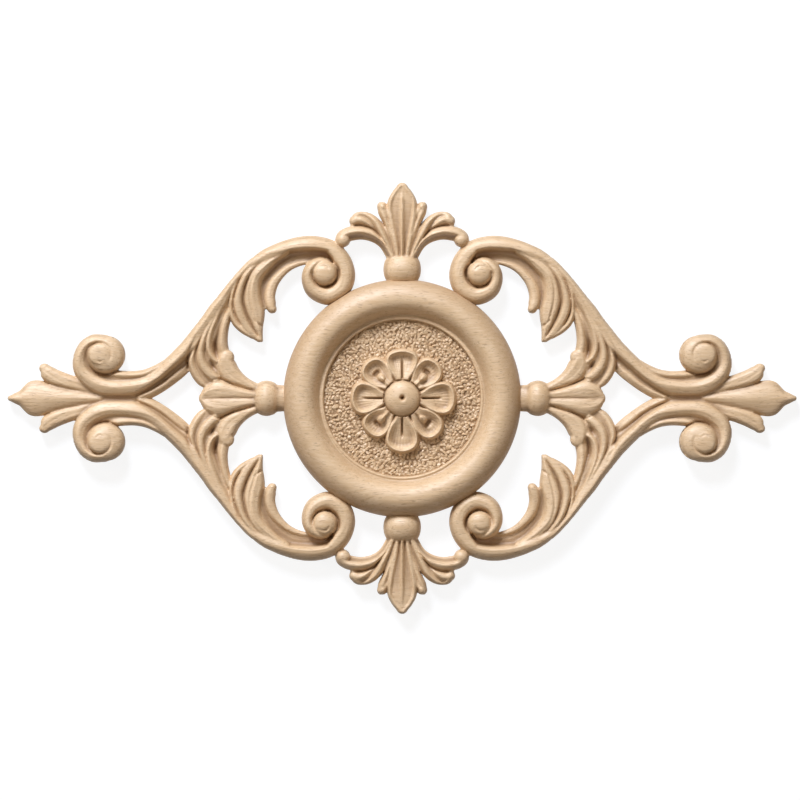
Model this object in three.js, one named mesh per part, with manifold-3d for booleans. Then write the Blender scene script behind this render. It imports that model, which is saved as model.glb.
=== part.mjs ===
// A carved applique pressed from wood pulp: a round frame with a rosette, four scrolled and leafed
// stems that meet in a palmette at each end, and a small palmette on each side of the frame.
// X runs along the length, Z up, the carving faces -Y and the flat back lies in the plane Y = 0.

import * as THREE from "three";
import { mergeVertices } from "three/addons/utils/BufferGeometryUtils.js";
import Module from "manifold-3d";

const wasm = await Module();
wasm.setup();

// Driving dimensions, in millimetres
const OVERALL_LENGTH = 400;
const OVERALL_HEIGHT = 220;
const RING_RADIUS = 60.2;
const RING_ROLL_WIDTH = 18;
const RING_CREST = 16;
const RING_SHOULDER = 9;
const BEAD_WIDTH = 2.2;
const BEAD_CREST = 9.6;
const FIELD_THICKNESS = 7;
const EDGE_THICKNESS = 4;
const SCROLL_CREST = 11;
const SCROLL_FLOOR = 6;
const ROSETTE_RADIUS = 27;
const ROSETTE_CREST = 11.5;
const PETAL_SLOPE = 1.6;
const BUTTON_RADIUS = 9.3;
const BUTTON_CREST = 15;
const DIMPLE_RADIUS = 2.2;
const DIMPLE_DEPTH = 1.2;

// The free carving is drawn for a quarter of this size, and place() carries it to the sizes above
const DRAWN = { halfLength: 200, halfHeight: 110, ringRadius: 60.2, crest: 11 };

const RING_SEGMENTS = 48;
const BUTTON_SEGMENTS = 16;
const KNOB_SEGMENTS = 8;
const FINEST_HALF_WIDTH = 0.35;
const LEAST_RISE = 0.5;
const WELD_DISTANCE = 1e-4;
const KNOB_STEPS = 2;
const KNOB_RISE_SHARE = 0.45;
const ROLL_STEPS = 6;
const BEAD_SHARES = [0.3, 0.8];
const BUTTON_STEPS = 3;
const BUTTON_FOOT_DROP = 2;
const PETAL_COUNT = 8;
const PETAL_STEPS = 3;
const PETAL_SINK = 1;
const STRAIGHT_PETAL_SHARE = 0.29;
const DIAGONAL_PETAL_SHARE = 0.27;

const wood = new THREE.MeshStandardMaterial({ color: 0xd3b189, roughness: 0.78, metalness: 0 });

// Sections across a strip: x runs from edge to edge, y is -1 at the back, 0 at the edge, 1 at the crest
const SECTIONS = {
  round: [[-1, -1], [1, -1], [1, 0], [0.5, 0.93], [-0.5, 0.93], [-1, 0]],
  ridge: [[-1, -1], [1, -1], [1, 0], [0, 1], [-1, 0]],
  flat: [[-1, -1], [1, -1], [1, 1], [-1, 1]],
  twin: [[-1, -1], [1, -1], [1, 0], [0.5, 1], [0, 0.35], [-0.5, 1], [-1, 0]],
  fluted: [
    [-1, -1], [1, -1], [1, 0], [0.72, 0.88], [0.38, 0.5], [0, 1], [-0.38, 0.5], [-0.72, 0.88], [-1, 0],
  ],
  scoop: [[-1, -1], [1, -1], [1, 0.5], [0.74, 1], [0, 0.35], [-0.74, 1], [-1, 0.5]],
};

// Carries a drawn point to its place: the frame keeps its own radius and the tips reach the overall size
function place(x, z) {
  const radius = Math.hypot(x, z);
  if (radius <= DRAWN.ringRadius) {
    const scale = RING_RADIUS / DRAWN.ringRadius;
    return [x * scale, z * scale];
  }
  const along = (OVERALL_LENGTH / 2 - RING_RADIUS) / (DRAWN.halfLength - DRAWN.ringRadius);
  const upward = (OVERALL_HEIGHT / 2 - RING_RADIUS) / (DRAWN.halfHeight - DRAWN.ringRadius);
  const stretch = (along * x * x + upward * z * z) / (radius * radius);
  const scale = (RING_RADIUS + (radius - DRAWN.ringRadius) * stretch) / radius;
  return [x * scale, z * scale];
}

// Turns a closed three.js geometry into a solid that can be joined
function solid(geometry) {
  const bare = geometry.clone();
  for (const name of Object.keys(bare.attributes)) {
    if (name !== "position") bare.deleteAttribute(name);
  }
  const merged = mergeVertices(bare, WELD_DISTANCE);
  return new wasm.Manifold(new wasm.Mesh({
    numProp: 3,
    vertProperties: Float32Array.from(merged.attributes.position.array),
    triVerts: Uint32Array.from(merged.index.array),
  }));
}

function geometryOf(manifold) {
  const mesh = manifold.getMesh();
  const geometry = new THREE.BufferGeometry();
  geometry.setAttribute("position", new THREE.BufferAttribute(Float32Array.from(mesh.vertProperties), 3));
  geometry.setIndex(Array.from(mesh.triVerts));
  return geometry;
}

function joined(solids) {
  return solids.reduce((total, next) => total.add(next));
}

// The solid and its mirror image across the X or the Z middle plane, as one
function mirrored(manifold, axis) {
  const geometry = geometryOf(manifold);
  geometry.scale(axis === "x" ? -1 : 1, 1, axis === "z" ? -1 : 1);
  const index = geometry.index.array;
  for (let i = 0; i < index.length; i += 3) {
    [index[i], index[i + 1]] = [index[i + 1], index[i]];
  }
  return manifold.add(solid(geometry));
}

// A carved strip: rows of [x, z, left half-width, right half-width, crest] along its middle line.
// pieces splits a coiling strip along its length, so that no single length meets itself.
function strip(rows, { section = "round", edge = EDGE_THICKNESS, fineness = 0.75, pieces = 1 } = {}) {
  const spine = new THREE.CatmullRomCurve3(
    rows.map(([x, z]) => new THREE.Vector3(x, z, 0)), false, "catmullrom");
  const girth = new THREE.CatmullRomCurve3(
    rows.map(([, , left, right, crest]) => new THREE.Vector3(left, right, crest)), false, "catmullrom");
  const outline = new THREE.Shape(SECTIONS[section].map(([x, y]) => new THREE.Vector2(x, y)));
  const steps = Math.max(1, Math.round((rows.length - 1) * fineness / pieces));
  const lengths = [];
  for (let piece = 0; piece < pieces; piece += 1) {
    const geometry = new THREE.ExtrudeGeometry(outline, { depth: 1, steps, bevelEnabled: false });
    const position = geometry.attributes.position;
    for (let i = 0; i < position.count; i += 1) {
      const across = position.getX(i);
      const level = position.getY(i);
      const t = (piece + position.getZ(i)) / pieces;
      const middle = spine.getPoint(t);
      const tangent = spine.getTangent(t);
      const { x: left, y: right, z: crest } = girth.getPoint(t);
      const reach = across * Math.max(across > 0 ? left : right, FINEST_HALF_WIDTH);
      const [x, z] = place(middle.x - tangent.y * reach, middle.y + tangent.x * reach);
      const top = Math.max(crest * SCROLL_CREST / DRAWN.crest, edge + LEAST_RISE);
      const height = level < 0 ? edge * (1 + level) : edge + (top - edge) * level;
      position.setXYZ(i, x, -height, z);
    }
    lengths.push(solid(geometry));
  }
  return joined(lengths);
}

// The button in the middle of a scroll: a dome on the disc that floors the scroll
function knob(x, z, radius, crest, floorRadius) {
  const [px, pz] = place(x, z);
  const top = crest * SCROLL_CREST / DRAWN.crest;
  const rise = top * KNOB_RISE_SHARE;
  const profile = [
    new THREE.Vector2(0, 0), new THREE.Vector2(floorRadius, 0),
    new THREE.Vector2(floorRadius, SCROLL_FLOOR),
    new THREE.Vector2(radius, SCROLL_FLOOR), new THREE.Vector2(radius, top - rise),
  ];
  for (let i = 1; i < KNOB_STEPS; i += 1) {
    const angle = (i / KNOB_STEPS) * Math.PI / 2;
    profile.push(new THREE.Vector2(radius * Math.cos(angle), top - rise + rise * Math.sin(angle)));
  }
  profile.push(new THREE.Vector2(0, top));
  const geometry = new THREE.LatheGeometry(profile, KNOB_SEGMENTS);
  geometry.rotateX(Math.PI);
  geometry.translate(px, 0, pz);
  return solid(geometry);
}

// The round frame: a rolled rim, a bead inside it and the sunk field, turned as one profile
function frame() {
  const inner = RING_RADIUS - RING_ROLL_WIDTH;
  const crestRadius = RING_RADIUS - RING_ROLL_WIDTH / 2;
  const profile = [new THREE.Vector2(0, 0), new THREE.Vector2(RING_RADIUS, 0)];
  for (let i = 0; i <= ROLL_STEPS; i += 1) {
    const angle = (i / ROLL_STEPS) * Math.PI;
    const foot = i * 2 < ROLL_STEPS ? EDGE_THICKNESS + 1 : RING_SHOULDER;
    profile.push(new THREE.Vector2(
      crestRadius + (RING_ROLL_WIDTH / 2) * Math.cos(angle),
      foot + (RING_CREST - foot) * Math.sin(angle)));
  }
  for (const share of BEAD_SHARES) {
    profile.push(new THREE.Vector2(inner - BEAD_WIDTH * share, BEAD_CREST));
  }
  profile.push(new THREE.Vector2(inner - BEAD_WIDTH, FIELD_THICKNESS));
  profile.push(new THREE.Vector2(0, FIELD_THICKNESS));
  const geometry = new THREE.LatheGeometry(profile, RING_SEGMENTS);
  geometry.rotateX(Math.PI);
  return solid(geometry);
}

// One scooped petal of the rosette, pointing along +X before it is turned by angle
function petal(angle, broad) {
  const reach = ROSETTE_RADIUS;
  const shares = [[0.2, 0.1], [0.45, 0.19], [0.7, broad], [0.88, broad * 0.86], [1, broad * 0.34]];
  const curve = new THREE.SplineCurve(shares.map(([along, half]) => new THREE.Vector2(along, half)));
  const outline = new THREE.Shape(SECTIONS.scoop.map(([x, y]) => new THREE.Vector2(x, y)));
  const sweep = { depth: 1, steps: PETAL_STEPS, bevelEnabled: false };
  const geometry = new THREE.ExtrudeGeometry(outline, sweep);
  const position = geometry.attributes.position;
  for (let i = 0; i < position.count; i += 1) {
    const share = curve.getPoint(position.getZ(i));
    const level = position.getY(i);
    const top = ROSETTE_CREST - PETAL_SLOPE * position.getZ(i);
    const raised = FIELD_THICKNESS + (top - FIELD_THICKNESS) * level;
    const height = level < 0 ? FIELD_THICKNESS - PETAL_SINK : raised;
    position.setXYZ(i, share.x * reach, -height, position.getX(i) * share.y * reach);
  }
  geometry.rotateY(angle);
  return solid(geometry);
}

function rosette() {
  const base = FIELD_THICKNESS - PETAL_SINK;
  const profile = [new THREE.Vector2(0, base), new THREE.Vector2(BUTTON_RADIUS, base)];
  const foot = ROSETTE_CREST - BUTTON_FOOT_DROP;
  const lipAngle = Math.acos(DIMPLE_RADIUS / BUTTON_RADIUS);
  for (let i = 0; i <= BUTTON_STEPS; i += 1) {
    const angle = (i / BUTTON_STEPS) * lipAngle;
    profile.push(new THREE.Vector2(
      BUTTON_RADIUS * Math.cos(angle), foot + (BUTTON_CREST - foot) * Math.sin(angle)));
  }
  profile.push(new THREE.Vector2(0, BUTTON_CREST - DIMPLE_DEPTH));
  const button = new THREE.LatheGeometry(profile, BUTTON_SEGMENTS);
  button.rotateX(Math.PI);
  const petals = [solid(button)];
  for (let i = 0; i < PETAL_COUNT; i += 1) {
    const broad = i % 2 === 0 ? STRAIGHT_PETAL_SHARE : DIAGONAL_PETAL_SHARE;
    petals.push(petal(i * 2 * Math.PI / PETAL_COUNT, broad));
  }
  return joined(petals);
}

// The stem that runs from the big leaf down to the end and curls into the end scroll,
// with the raised lip and the sunk channel on its outer side
function stem() {
  return [
    strip([
      [76, 69, 1.2, 1.2, 8], [86.4, 55.5, 3, 3, 9.8],
      [93.4, 43, 5.5, 3.2, 10.4], [101.3, 31.8, 5.6, 2, 10.4],
      [109.5, 20.8, 6.5, 7.6, 10.9], [120, 11.5, 6.4, 7.8, 11],
      [130, 5.5, 4, 6.4, 11], [144, 2.4, 3.7, 3.2, 10.6],
      [157.5, 5.4, 3.8, 2.9, 10.5], [163.4, 14.5, 4.2, 2.6, 10.6], [161, 24.3, 4, 2.8, 10.8],
      [155, 28.1, 3.3, 3, 11.1], [148.6, 27.4, 3.1, 3.1, 11.5], [144.8, 22.4, 3.3, 3.6, 11.8],
      [145.2, 16.6, 3.2, 3.4, 12], [149.2, 12.9, 2.7, 2.8, 12.2], [154, 12.9, 2.3, 2.4, 12.3],
      [157.2, 16.3, 1.5, 1.6, 12.3],
    ], { fineness: 1.55, pieces: 2 }),
    knob(152.9, 20, 5, 13.2, 8),
    strip([
      [112, 26, 0.8, 0.8, 7], [118, 20.2, 1.2, 1.3, 7.6],
      [124, 15.7, 1.5, 1.5, 8.2], [130, 12.6, 1.7, 1.7, 8.6],
      [136, 11, 1.9, 1.9, 8.8], [142, 10.9, 2.2, 2.2, 9], [147, 11.5, 1.6, 2, 9],
    ], { section: "ridge" }),
    strip([
      [120, 14.5, 3, 3, 5.8], [130, 9.5, 3.4, 3, 6.2], [138, 7.5, 4.2, 3, 6.4], [146, 8, 4, 3, 6.4],
      [156, 10.5, 3.5, 3, 6.4], [160.5, 20, 2.6, 2.6, 6.4], [157, 26, 2, 2, 6.4],
    ], { section: "flat" }),
  ];
}

// The scroll over the top of the big leaf, which curls back onto the round frame
function topScroll() {
  return [
    strip([
      [84, 59, 1.4, 1.4, 8.6], [76.5, 67.5, 1.9, 2, 9.3],
      [68.3, 72.6, 2.5, 3.3, 10], [56, 75.8, 2.8, 4.9, 10.4],
      [43, 76.1, 3.8, 5.8, 10.6], [36, 74.3, 4, 5.3, 10.6], [30.4, 69.3, 3.9, 4.8, 10.7],
      [28.4, 62, 3.9, 4.7, 10.8], [30.9, 55.2, 4.1, 4.4, 11], [38.2, 51.7, 4.3, 4.1, 11.2],
      [44.8, 54.8, 3.9, 3.8, 11.5], [47.4, 61.2, 3.2, 3, 11.7], [45.7, 66.6, 2.7, 2.7, 11.9],
      [41, 69, 2.1, 2.1, 12], [36.6, 67.4, 1.7, 1.8, 12], [34.9, 63.8, 1.5, 1.6, 12],
    ], { fineness: 1.5, pieces: 2 }),
    knob(38.8, 61.4, 5, 12.9, 8.5),
    strip([
      [41, 71.5, 3, 3, 6.2], [50, 72, 3, 3.2, 6.2], [58, 69.5, 5, 3, 6], [64.5, 65.5, 5, 3, 6],
      [68.5, 59.5, 2.8, 2.6, 6], [70.5, 53, 2.6, 2.2, 6], [70.3, 46.5, 2.2, 1.8, 6],
    ], { section: "flat", fineness: 1 }),
  ];
}

// The big acanthus leaf that hangs under the top scroll: its inner lobe and its fluted blade
function bigLeaf() {
  return [
    strip([
      [48.6, 69.2, 1.4, 1.4, 6.8], [56, 67.8, 2.2, 2.2, 7.2], [62, 63.6, 2.9, 2.9, 7.6],
      [66.2, 57.5, 3.1, 3.1, 7.9], [67.6, 51, 3.1, 3.3, 8.1], [66.4, 43.8, 3, 2.6, 8.1],
    ], { section: "ridge" }),
    strip([
      [68, 71.8, 2.6, 2.4, 9.6], [73.2, 65.8, 4.8, 4.6, 10],
      [76.6, 58.5, 6.3, 6, 10.4], [78.3, 51, 7.4, 7.2, 10.4],
      [78, 44.5, 8.2, 9.4, 10], [76.2, 38.5, 8.2, 7.4, 9],
      [73.3, 32.8, 6.2, 3.8, 7.8], [71, 28.4, 1.4, 1, 6.6],
    ], { section: "fluted", fineness: 0.9 }),
  ];
}

// The small acanthus leaf between the stem and the side palmette, with the pocket behind its inner lobe
function smallLeaf() {
  return [
    strip([
      [85.6, 48, 0.8, 0.8, 7], [88.3, 41, 1.8, 1.7, 7.6],
      [90.6, 34.5, 2.5, 2.6, 7.9], [91.5, 28.5, 2.7, 3.2, 8],
      [90, 20.5, 2.6, 3.4, 7.6],
    ], { section: "ridge" }),
    strip([
      [87, 49, 1.2, 1.2, 5.8], [91.5, 40, 2.4, 2, 5.6], [94.3, 32, 2.2, 2, 5.3], [95.2, 25, 2, 2, 4.8],
      [94.4, 19, 2.4, 3.4, 4.6], [92.8, 12.5, 3, 4.6, 4.8], [90, 7, 2.6, 3, 5],
    ], { section: "flat", fineness: 0.6 }),
    strip([
      [96.6, 40.5, 1.2, 1.6, 10], [99.8, 32.5, 3.2, 3.2, 10.3], [101.6, 27, 4.6, 5, 10.2],
      [102.2, 21, 5.7, 6.2, 10], [101.5, 15, 5.9, 7, 9.5],
      [99.8, 10, 4.6, 6.5, 8.8], [98.2, 6, 1.8, 4.4, 8],
    ], { section: "fluted", fineness: 0.85 }),
  ];
}

// The curled lobe on each side of the side palmette
function sideLobe() {
  return [
    strip([
      [73.5, 4.6, 2.4, 1.6, 8], [80, 7.7, 2.7, 2.5, 8.4],
      [85.6, 11.7, 4, 3.8, 8.7], [88.3, 16.5, 4, 4, 8.9],
      [88.9, 22, 3.1, 3, 8.5],
    ], { fineness: 1 }),
  ];
}

// The side palmette on its middle line: its collar on the frame and its grooved leaf
function sidePalmetteMiddle() {
  return [
    strip([
      [57.5, 0, 6.6, 6.6, 8], [63, 0, 8.7, 8.7, 11.2], [66.7, 0, 9.3, 9.3, 12], [70.5, 0, 8.7, 8.7, 11.4],
      [73.9, 0, 6.7, 6.7, 9.2],
    ], { fineness: 1 }),
    strip([
      [73, 0, 3.2, 3.2, 8.8], [80, 0, 5, 5, 9.2], [87, 0, 7.5, 7.5, 9.6], [93, 0, 9.1, 9.1, 9.6],
      [98, 0, 7.4, 7.4, 8.8], [102.6, 0, 2.4, 2.4, 8],
    ], { section: "twin", fineness: 1 }),
  ];
}

// The three lobes on each side of the top palmette's middle leaf
function topLobes() {
  return [
    strip([
      [3.4, 73, 1.1, 1.1, 9], [5.2, 80, 1.4, 1.4, 9.4], [7.4, 88, 1.9, 2.8, 9.6], [9.7, 95, 2.5, 3.2, 9.2],
      [10.4, 99.4, 1, 1.1, 8.2],
    ], { section: "ridge", fineness: 1 }),
    strip([
      [4.8, 73, 1.2, 1.2, 9], [7.9, 80, 1.7, 1.7, 9.5], [12, 87, 2.4, 3.2, 9.8], [17, 91, 2.9, 4.4, 9.6],
      [22, 91.7, 3, 4.4, 9], [26.2, 89.6, 1.8, 2, 8.4],
    ], { section: "ridge", fineness: 1 }),
    strip([
      [6.2, 72.5, 1.6, 1.9, 8.8], [9.4, 78, 1.9, 2.4, 9.2],
      [14, 82.3, 2.2, 3.4, 9.5], [20, 84.4, 2.6, 4.2, 9.6],
      [26, 84, 3, 4.6, 9.4], [30.2, 81.6, 3.4, 3.6, 9.2], [31, 78.6, 3.1, 3, 9],
    ], { fineness: 1 }),
  ];
}

// The top palmette on its middle line: its collar on the frame and its pointed leaf
function topPalmetteMiddle() {
  return [
    strip([
      [0, 57.5, 7.4, 7.4, 8], [0, 62, 9.1, 9.1, 11.5], [0, 65.5, 9.4, 9.4, 12.2], [0, 69, 8.9, 8.9, 11.5],
      [0, 72.3, 7.4, 7.4, 9.5],
    ], { fineness: 1 }),
    strip([
      [0, 72, 2.6, 2.6, 9.6], [0, 80, 4.3, 4.3, 10], [0, 88, 6.1, 6.1, 10.2], [0, 96, 7.7, 7.7, 9.8],
      [0, 101, 7.1, 7.1, 9.4], [0, 105.5, 4.3, 4.3, 8.8], [0, 110, 0.5, 0.5, 8],
    ], { section: "fluted", fineness: 1 }),
  ];
}

// The outer leaf on each side of the end palmette
function endLobe() {
  return [
    strip([
      [158, 3.4, 2.2, 2.2, 7.4], [168, 6.8, 3.2, 2.8, 8.1], [175, 9.6, 3.8, 3.7, 8.3],
      [179.5, 12.6, 3.3, 3.4, 8], [182.6, 16.4, 1.6, 1.7, 7.5],
    ], { fineness: 1 }),
  ];
}

function endLeaf() {
  return [
    strip([
      [152, 0, 2.6, 2.6, 7.5], [168, 0, 5, 5, 8.8], [180, 0, 7.8, 7.8, 9], [186, 0, 8.7, 8.7, 8.6],
      [191, 0, 7.1, 7.1, 7.8], [196, 0, 3.6, 3.6, 6.8], [200, 0, 0.6, 0.6, 6],
    ], { section: "fluted", fineness: 1 }),
  ];
}

const quarter = joined([
  ...stem(), ...topScroll(), ...bigLeaf(), ...smallLeaf(), ...sideLobe(), ...topLobes(), ...endLobe(),
]);
const rightHalf = joined([mirrored(quarter, "z"), ...sidePalmetteMiddle(), ...endLeaf()]);
const topAndBottom = mirrored(joined(topPalmetteMiddle()), "z");
const whole = joined([mirrored(rightHalf, "x"), topAndBottom, frame(), rosette()]);

const applique = new THREE.Mesh(geometryOf(whole), wood);
applique.name = "applique";

const group = new THREE.Group();
group.add(applique);

export default group;
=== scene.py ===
"""Looks of a carved applique of pressed wood pulp: rosette frame, leafed scrolls and palmettes.

The carving is laid out in drawn millimetres for one quarter (x to the tip, z up) and mirrored.
Every strip of carving is a middle line with a width and a crest, and the strips are joined as a
relief, which becomes a closed mesh with a flat back.
"""

from __future__ import annotations

import logging
import math
from dataclasses import dataclass
from enum import Enum
from typing import Sequence

import bpy
import numpy as np
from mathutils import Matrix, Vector


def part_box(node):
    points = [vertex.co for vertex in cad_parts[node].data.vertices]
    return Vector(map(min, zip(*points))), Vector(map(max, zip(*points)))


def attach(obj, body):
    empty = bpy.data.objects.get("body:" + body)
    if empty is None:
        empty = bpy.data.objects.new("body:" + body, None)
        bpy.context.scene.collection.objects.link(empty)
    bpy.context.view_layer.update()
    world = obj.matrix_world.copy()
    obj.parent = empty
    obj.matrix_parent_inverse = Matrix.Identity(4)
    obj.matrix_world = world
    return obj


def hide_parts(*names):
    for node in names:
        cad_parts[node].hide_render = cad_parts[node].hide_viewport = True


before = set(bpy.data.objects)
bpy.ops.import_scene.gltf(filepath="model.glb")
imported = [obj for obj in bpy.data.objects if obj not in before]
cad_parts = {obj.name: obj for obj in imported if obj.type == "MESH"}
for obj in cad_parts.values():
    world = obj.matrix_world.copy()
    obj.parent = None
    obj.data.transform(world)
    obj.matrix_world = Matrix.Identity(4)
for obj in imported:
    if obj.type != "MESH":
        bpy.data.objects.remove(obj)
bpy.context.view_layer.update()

NODE = "applique"
BODY = "root"

DRAWN_HALF_LENGTH = 200.0
DRAWN_HALF_HEIGHT = 110.0
DRAWN_DEPTH = 16.0
RING_RADIUS = 60.2
FIELD_RADIUS = 39.7
FIELD_HEIGHT = 7.0
PETALS = 8

EDGE_HEIGHT = 4.2
SKIRT = 0.75
THIN = 0.05
THINNEST = 0.8
OUTSIDE = -50.0
TOOL_WIDTH = 1.7
TOOL_WAVER = 1.6
TOOL_TURNS = 7
FLUTE_SPAN = 2.5
FLUTE_LEAST = 0.3
DOME_POWER = 2.4
LEAST_SLOPE = 0.2
LEAST_WEIGHT = 1e-3

Rows = Sequence[tuple[float, ...]]
Size = tuple[float, float, float]
Colour = tuple[float, float, float]

log = logging.getLogger("applique")


class Fall(Enum):
    """How the top of a strip falls from its crest to its edge, as two exponents."""

    ROUND = (2.0, 2.0)
    FULL = (2.8, 2.2)
    FLAT = (6.0, 3.0)
    KEEL = (1.5, 1.4)
    COVE = (1.0, 0.6)
    SHEER = (1.0, 0.4)


@dataclass(frozen=True)
class Drawn:
    """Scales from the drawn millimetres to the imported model's metres."""

    along: float
    deep: float
    up: float

    @classmethod
    def from_frame(cls) -> "Drawn":
        """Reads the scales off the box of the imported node.

        Returns:
            The scales.
        """
        low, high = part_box(NODE)
        return cls(
            along=(high[0] - low[0]) / (2 * DRAWN_HALF_LENGTH),
            deep=(high[1] - low[1]) / DRAWN_DEPTH,
            up=(high[2] - low[2]) / (2 * DRAWN_HALF_HEIGHT),
        )

    def points(self, x: np.ndarray, height: np.ndarray, z: np.ndarray) -> np.ndarray:
        """Places drawn points in the frame.

        Args:
            x: Places along the length.
            height: Heights above the flat back.
            z: Places up.

        Returns:
            One row of three coordinates in metres for each point.
        """
        return np.stack([x * self.along, -height * self.deep, z * self.up], axis=1)


def smooth_line(rows: Rows, per_span: int = 8) -> np.ndarray:
    """Runs a smooth curve through rows of numbers.

    Args:
        rows: The rows that the curve passes through.
        per_span: Points on the curve for each step between rows.

    Returns:
        The curve, one row for each of its points.
    """
    known = np.asarray(rows, float)
    known = np.vstack([2 * known[0] - known[1], known, 2 * known[-1] - known[-2]])
    t = np.linspace(0, 1, per_span, endpoint=False)[:, None]
    spans = []
    for a, b, c, d in zip(known[:-3], known[1:-2], known[2:-1], known[3:]):
        spans.append(0.5 * (2 * b + (c - a) * t + (2 * a - 5 * b + 4 * c - d) * t**2
                            + (3 * b - a - 3 * c + d) * t**3))
    return np.vstack([*spans, known[-2][None]])


@dataclass(frozen=True)
class Nearest:
    """Where each point of a patch lies beside a middle line."""

    distance: np.ndarray
    left: np.ndarray
    row: np.ndarray
    share: np.ndarray


def nearest_on(line: np.ndarray, x: np.ndarray, z: np.ndarray) -> Nearest:
    """Finds the nearest place on a line for each point.

    Args:
        line: Rows that start with x and z.
        x: The points' places along the length.
        z: The points' places up.

    Returns:
        The distance, the side, the line's row there and the share of its length.
    """
    best = np.full(x.shape, np.inf)
    place = np.zeros(x.shape)
    left = np.ones(x.shape, bool)
    for k, (a, b) in enumerate(zip(line[:-1, :2], line[1:, :2])):
        along = b - a
        length = max(float(along @ along), 1e-12)
        dx, dz = x - a[0], z - a[1]
        t = np.clip((dx * along[0] + dz * along[1]) / length, 0, 1)
        ex, ez = dx - t * along[0], dz - t * along[1]
        distance = np.hypot(ex, ez)
        closer = distance < best
        best[closer] = distance[closer]
        place[closer] = k + t[closer]
        left[closer] = (along[0] * ez - along[1] * ex)[closer] >= 0
    low = np.minimum(place.astype(int), len(line) - 2)
    part = (place - low)[:, None]
    row = line[low] * (1 - part) + line[low + 1] * part
    return Nearest(best, left, row, place / (len(line) - 1))


@dataclass(frozen=True)
class Strip:
    """A strip of carving along a middle line.

    Each row is x, z, half-width on the left, half-width on the right, and crest height, and may
    end with how far the crest lies to the left of the middle line.
    """

    rows: Rows
    left: Fall = Fall.ROUND
    right: Fall = Fall.ROUND
    edge: float = EDGE_HEIGHT
    flutes: int = 0
    flute_depth: float = 0.0
    tool_marks: float = 0.1


@dataclass(frozen=True)
class Groove:
    """A cut line. Each row is x, z, half-width and depth."""

    rows: Rows


@dataclass(frozen=True)
class Dome:
    """A round boss: centre, radius, height at its rim and at its middle."""

    x: float
    z: float
    radius: float
    rim: float
    top: float


def spiral(x: float, z: float, start: float, end: float, angle: float, turn: float,
           half_width: float, depth: float, fade: float = 0.7) -> Groove:
    """A cut line that winds inwards and deepens over its first fifth.

    Args:
        x: Middle of the spiral along the length.
        z: Middle of the spiral upwards.
        start: Radius where the cut starts.
        end: Radius where it ends.
        angle: Direction of the start from the middle, in degrees.
        turn: How far it winds, in degrees, positive anticlockwise.
        half_width: Half of the width of the cut.
        depth: Depth once it has deepened.
        fade: Share of the depth that is lost by the end.

    Returns:
        The groove.
    """
    rows = []
    for share in np.linspace(0, 1, 12):
        radius = start + (end - start) * share
        a = math.radians(angle + turn * share)
        deep = depth * (1 - fade * share) * min(1.0, 0.15 + 5 * share)
        rows.append((x + radius * math.cos(a), z + radius * math.sin(a), half_width, deep))
    return Groove(rows)


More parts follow.
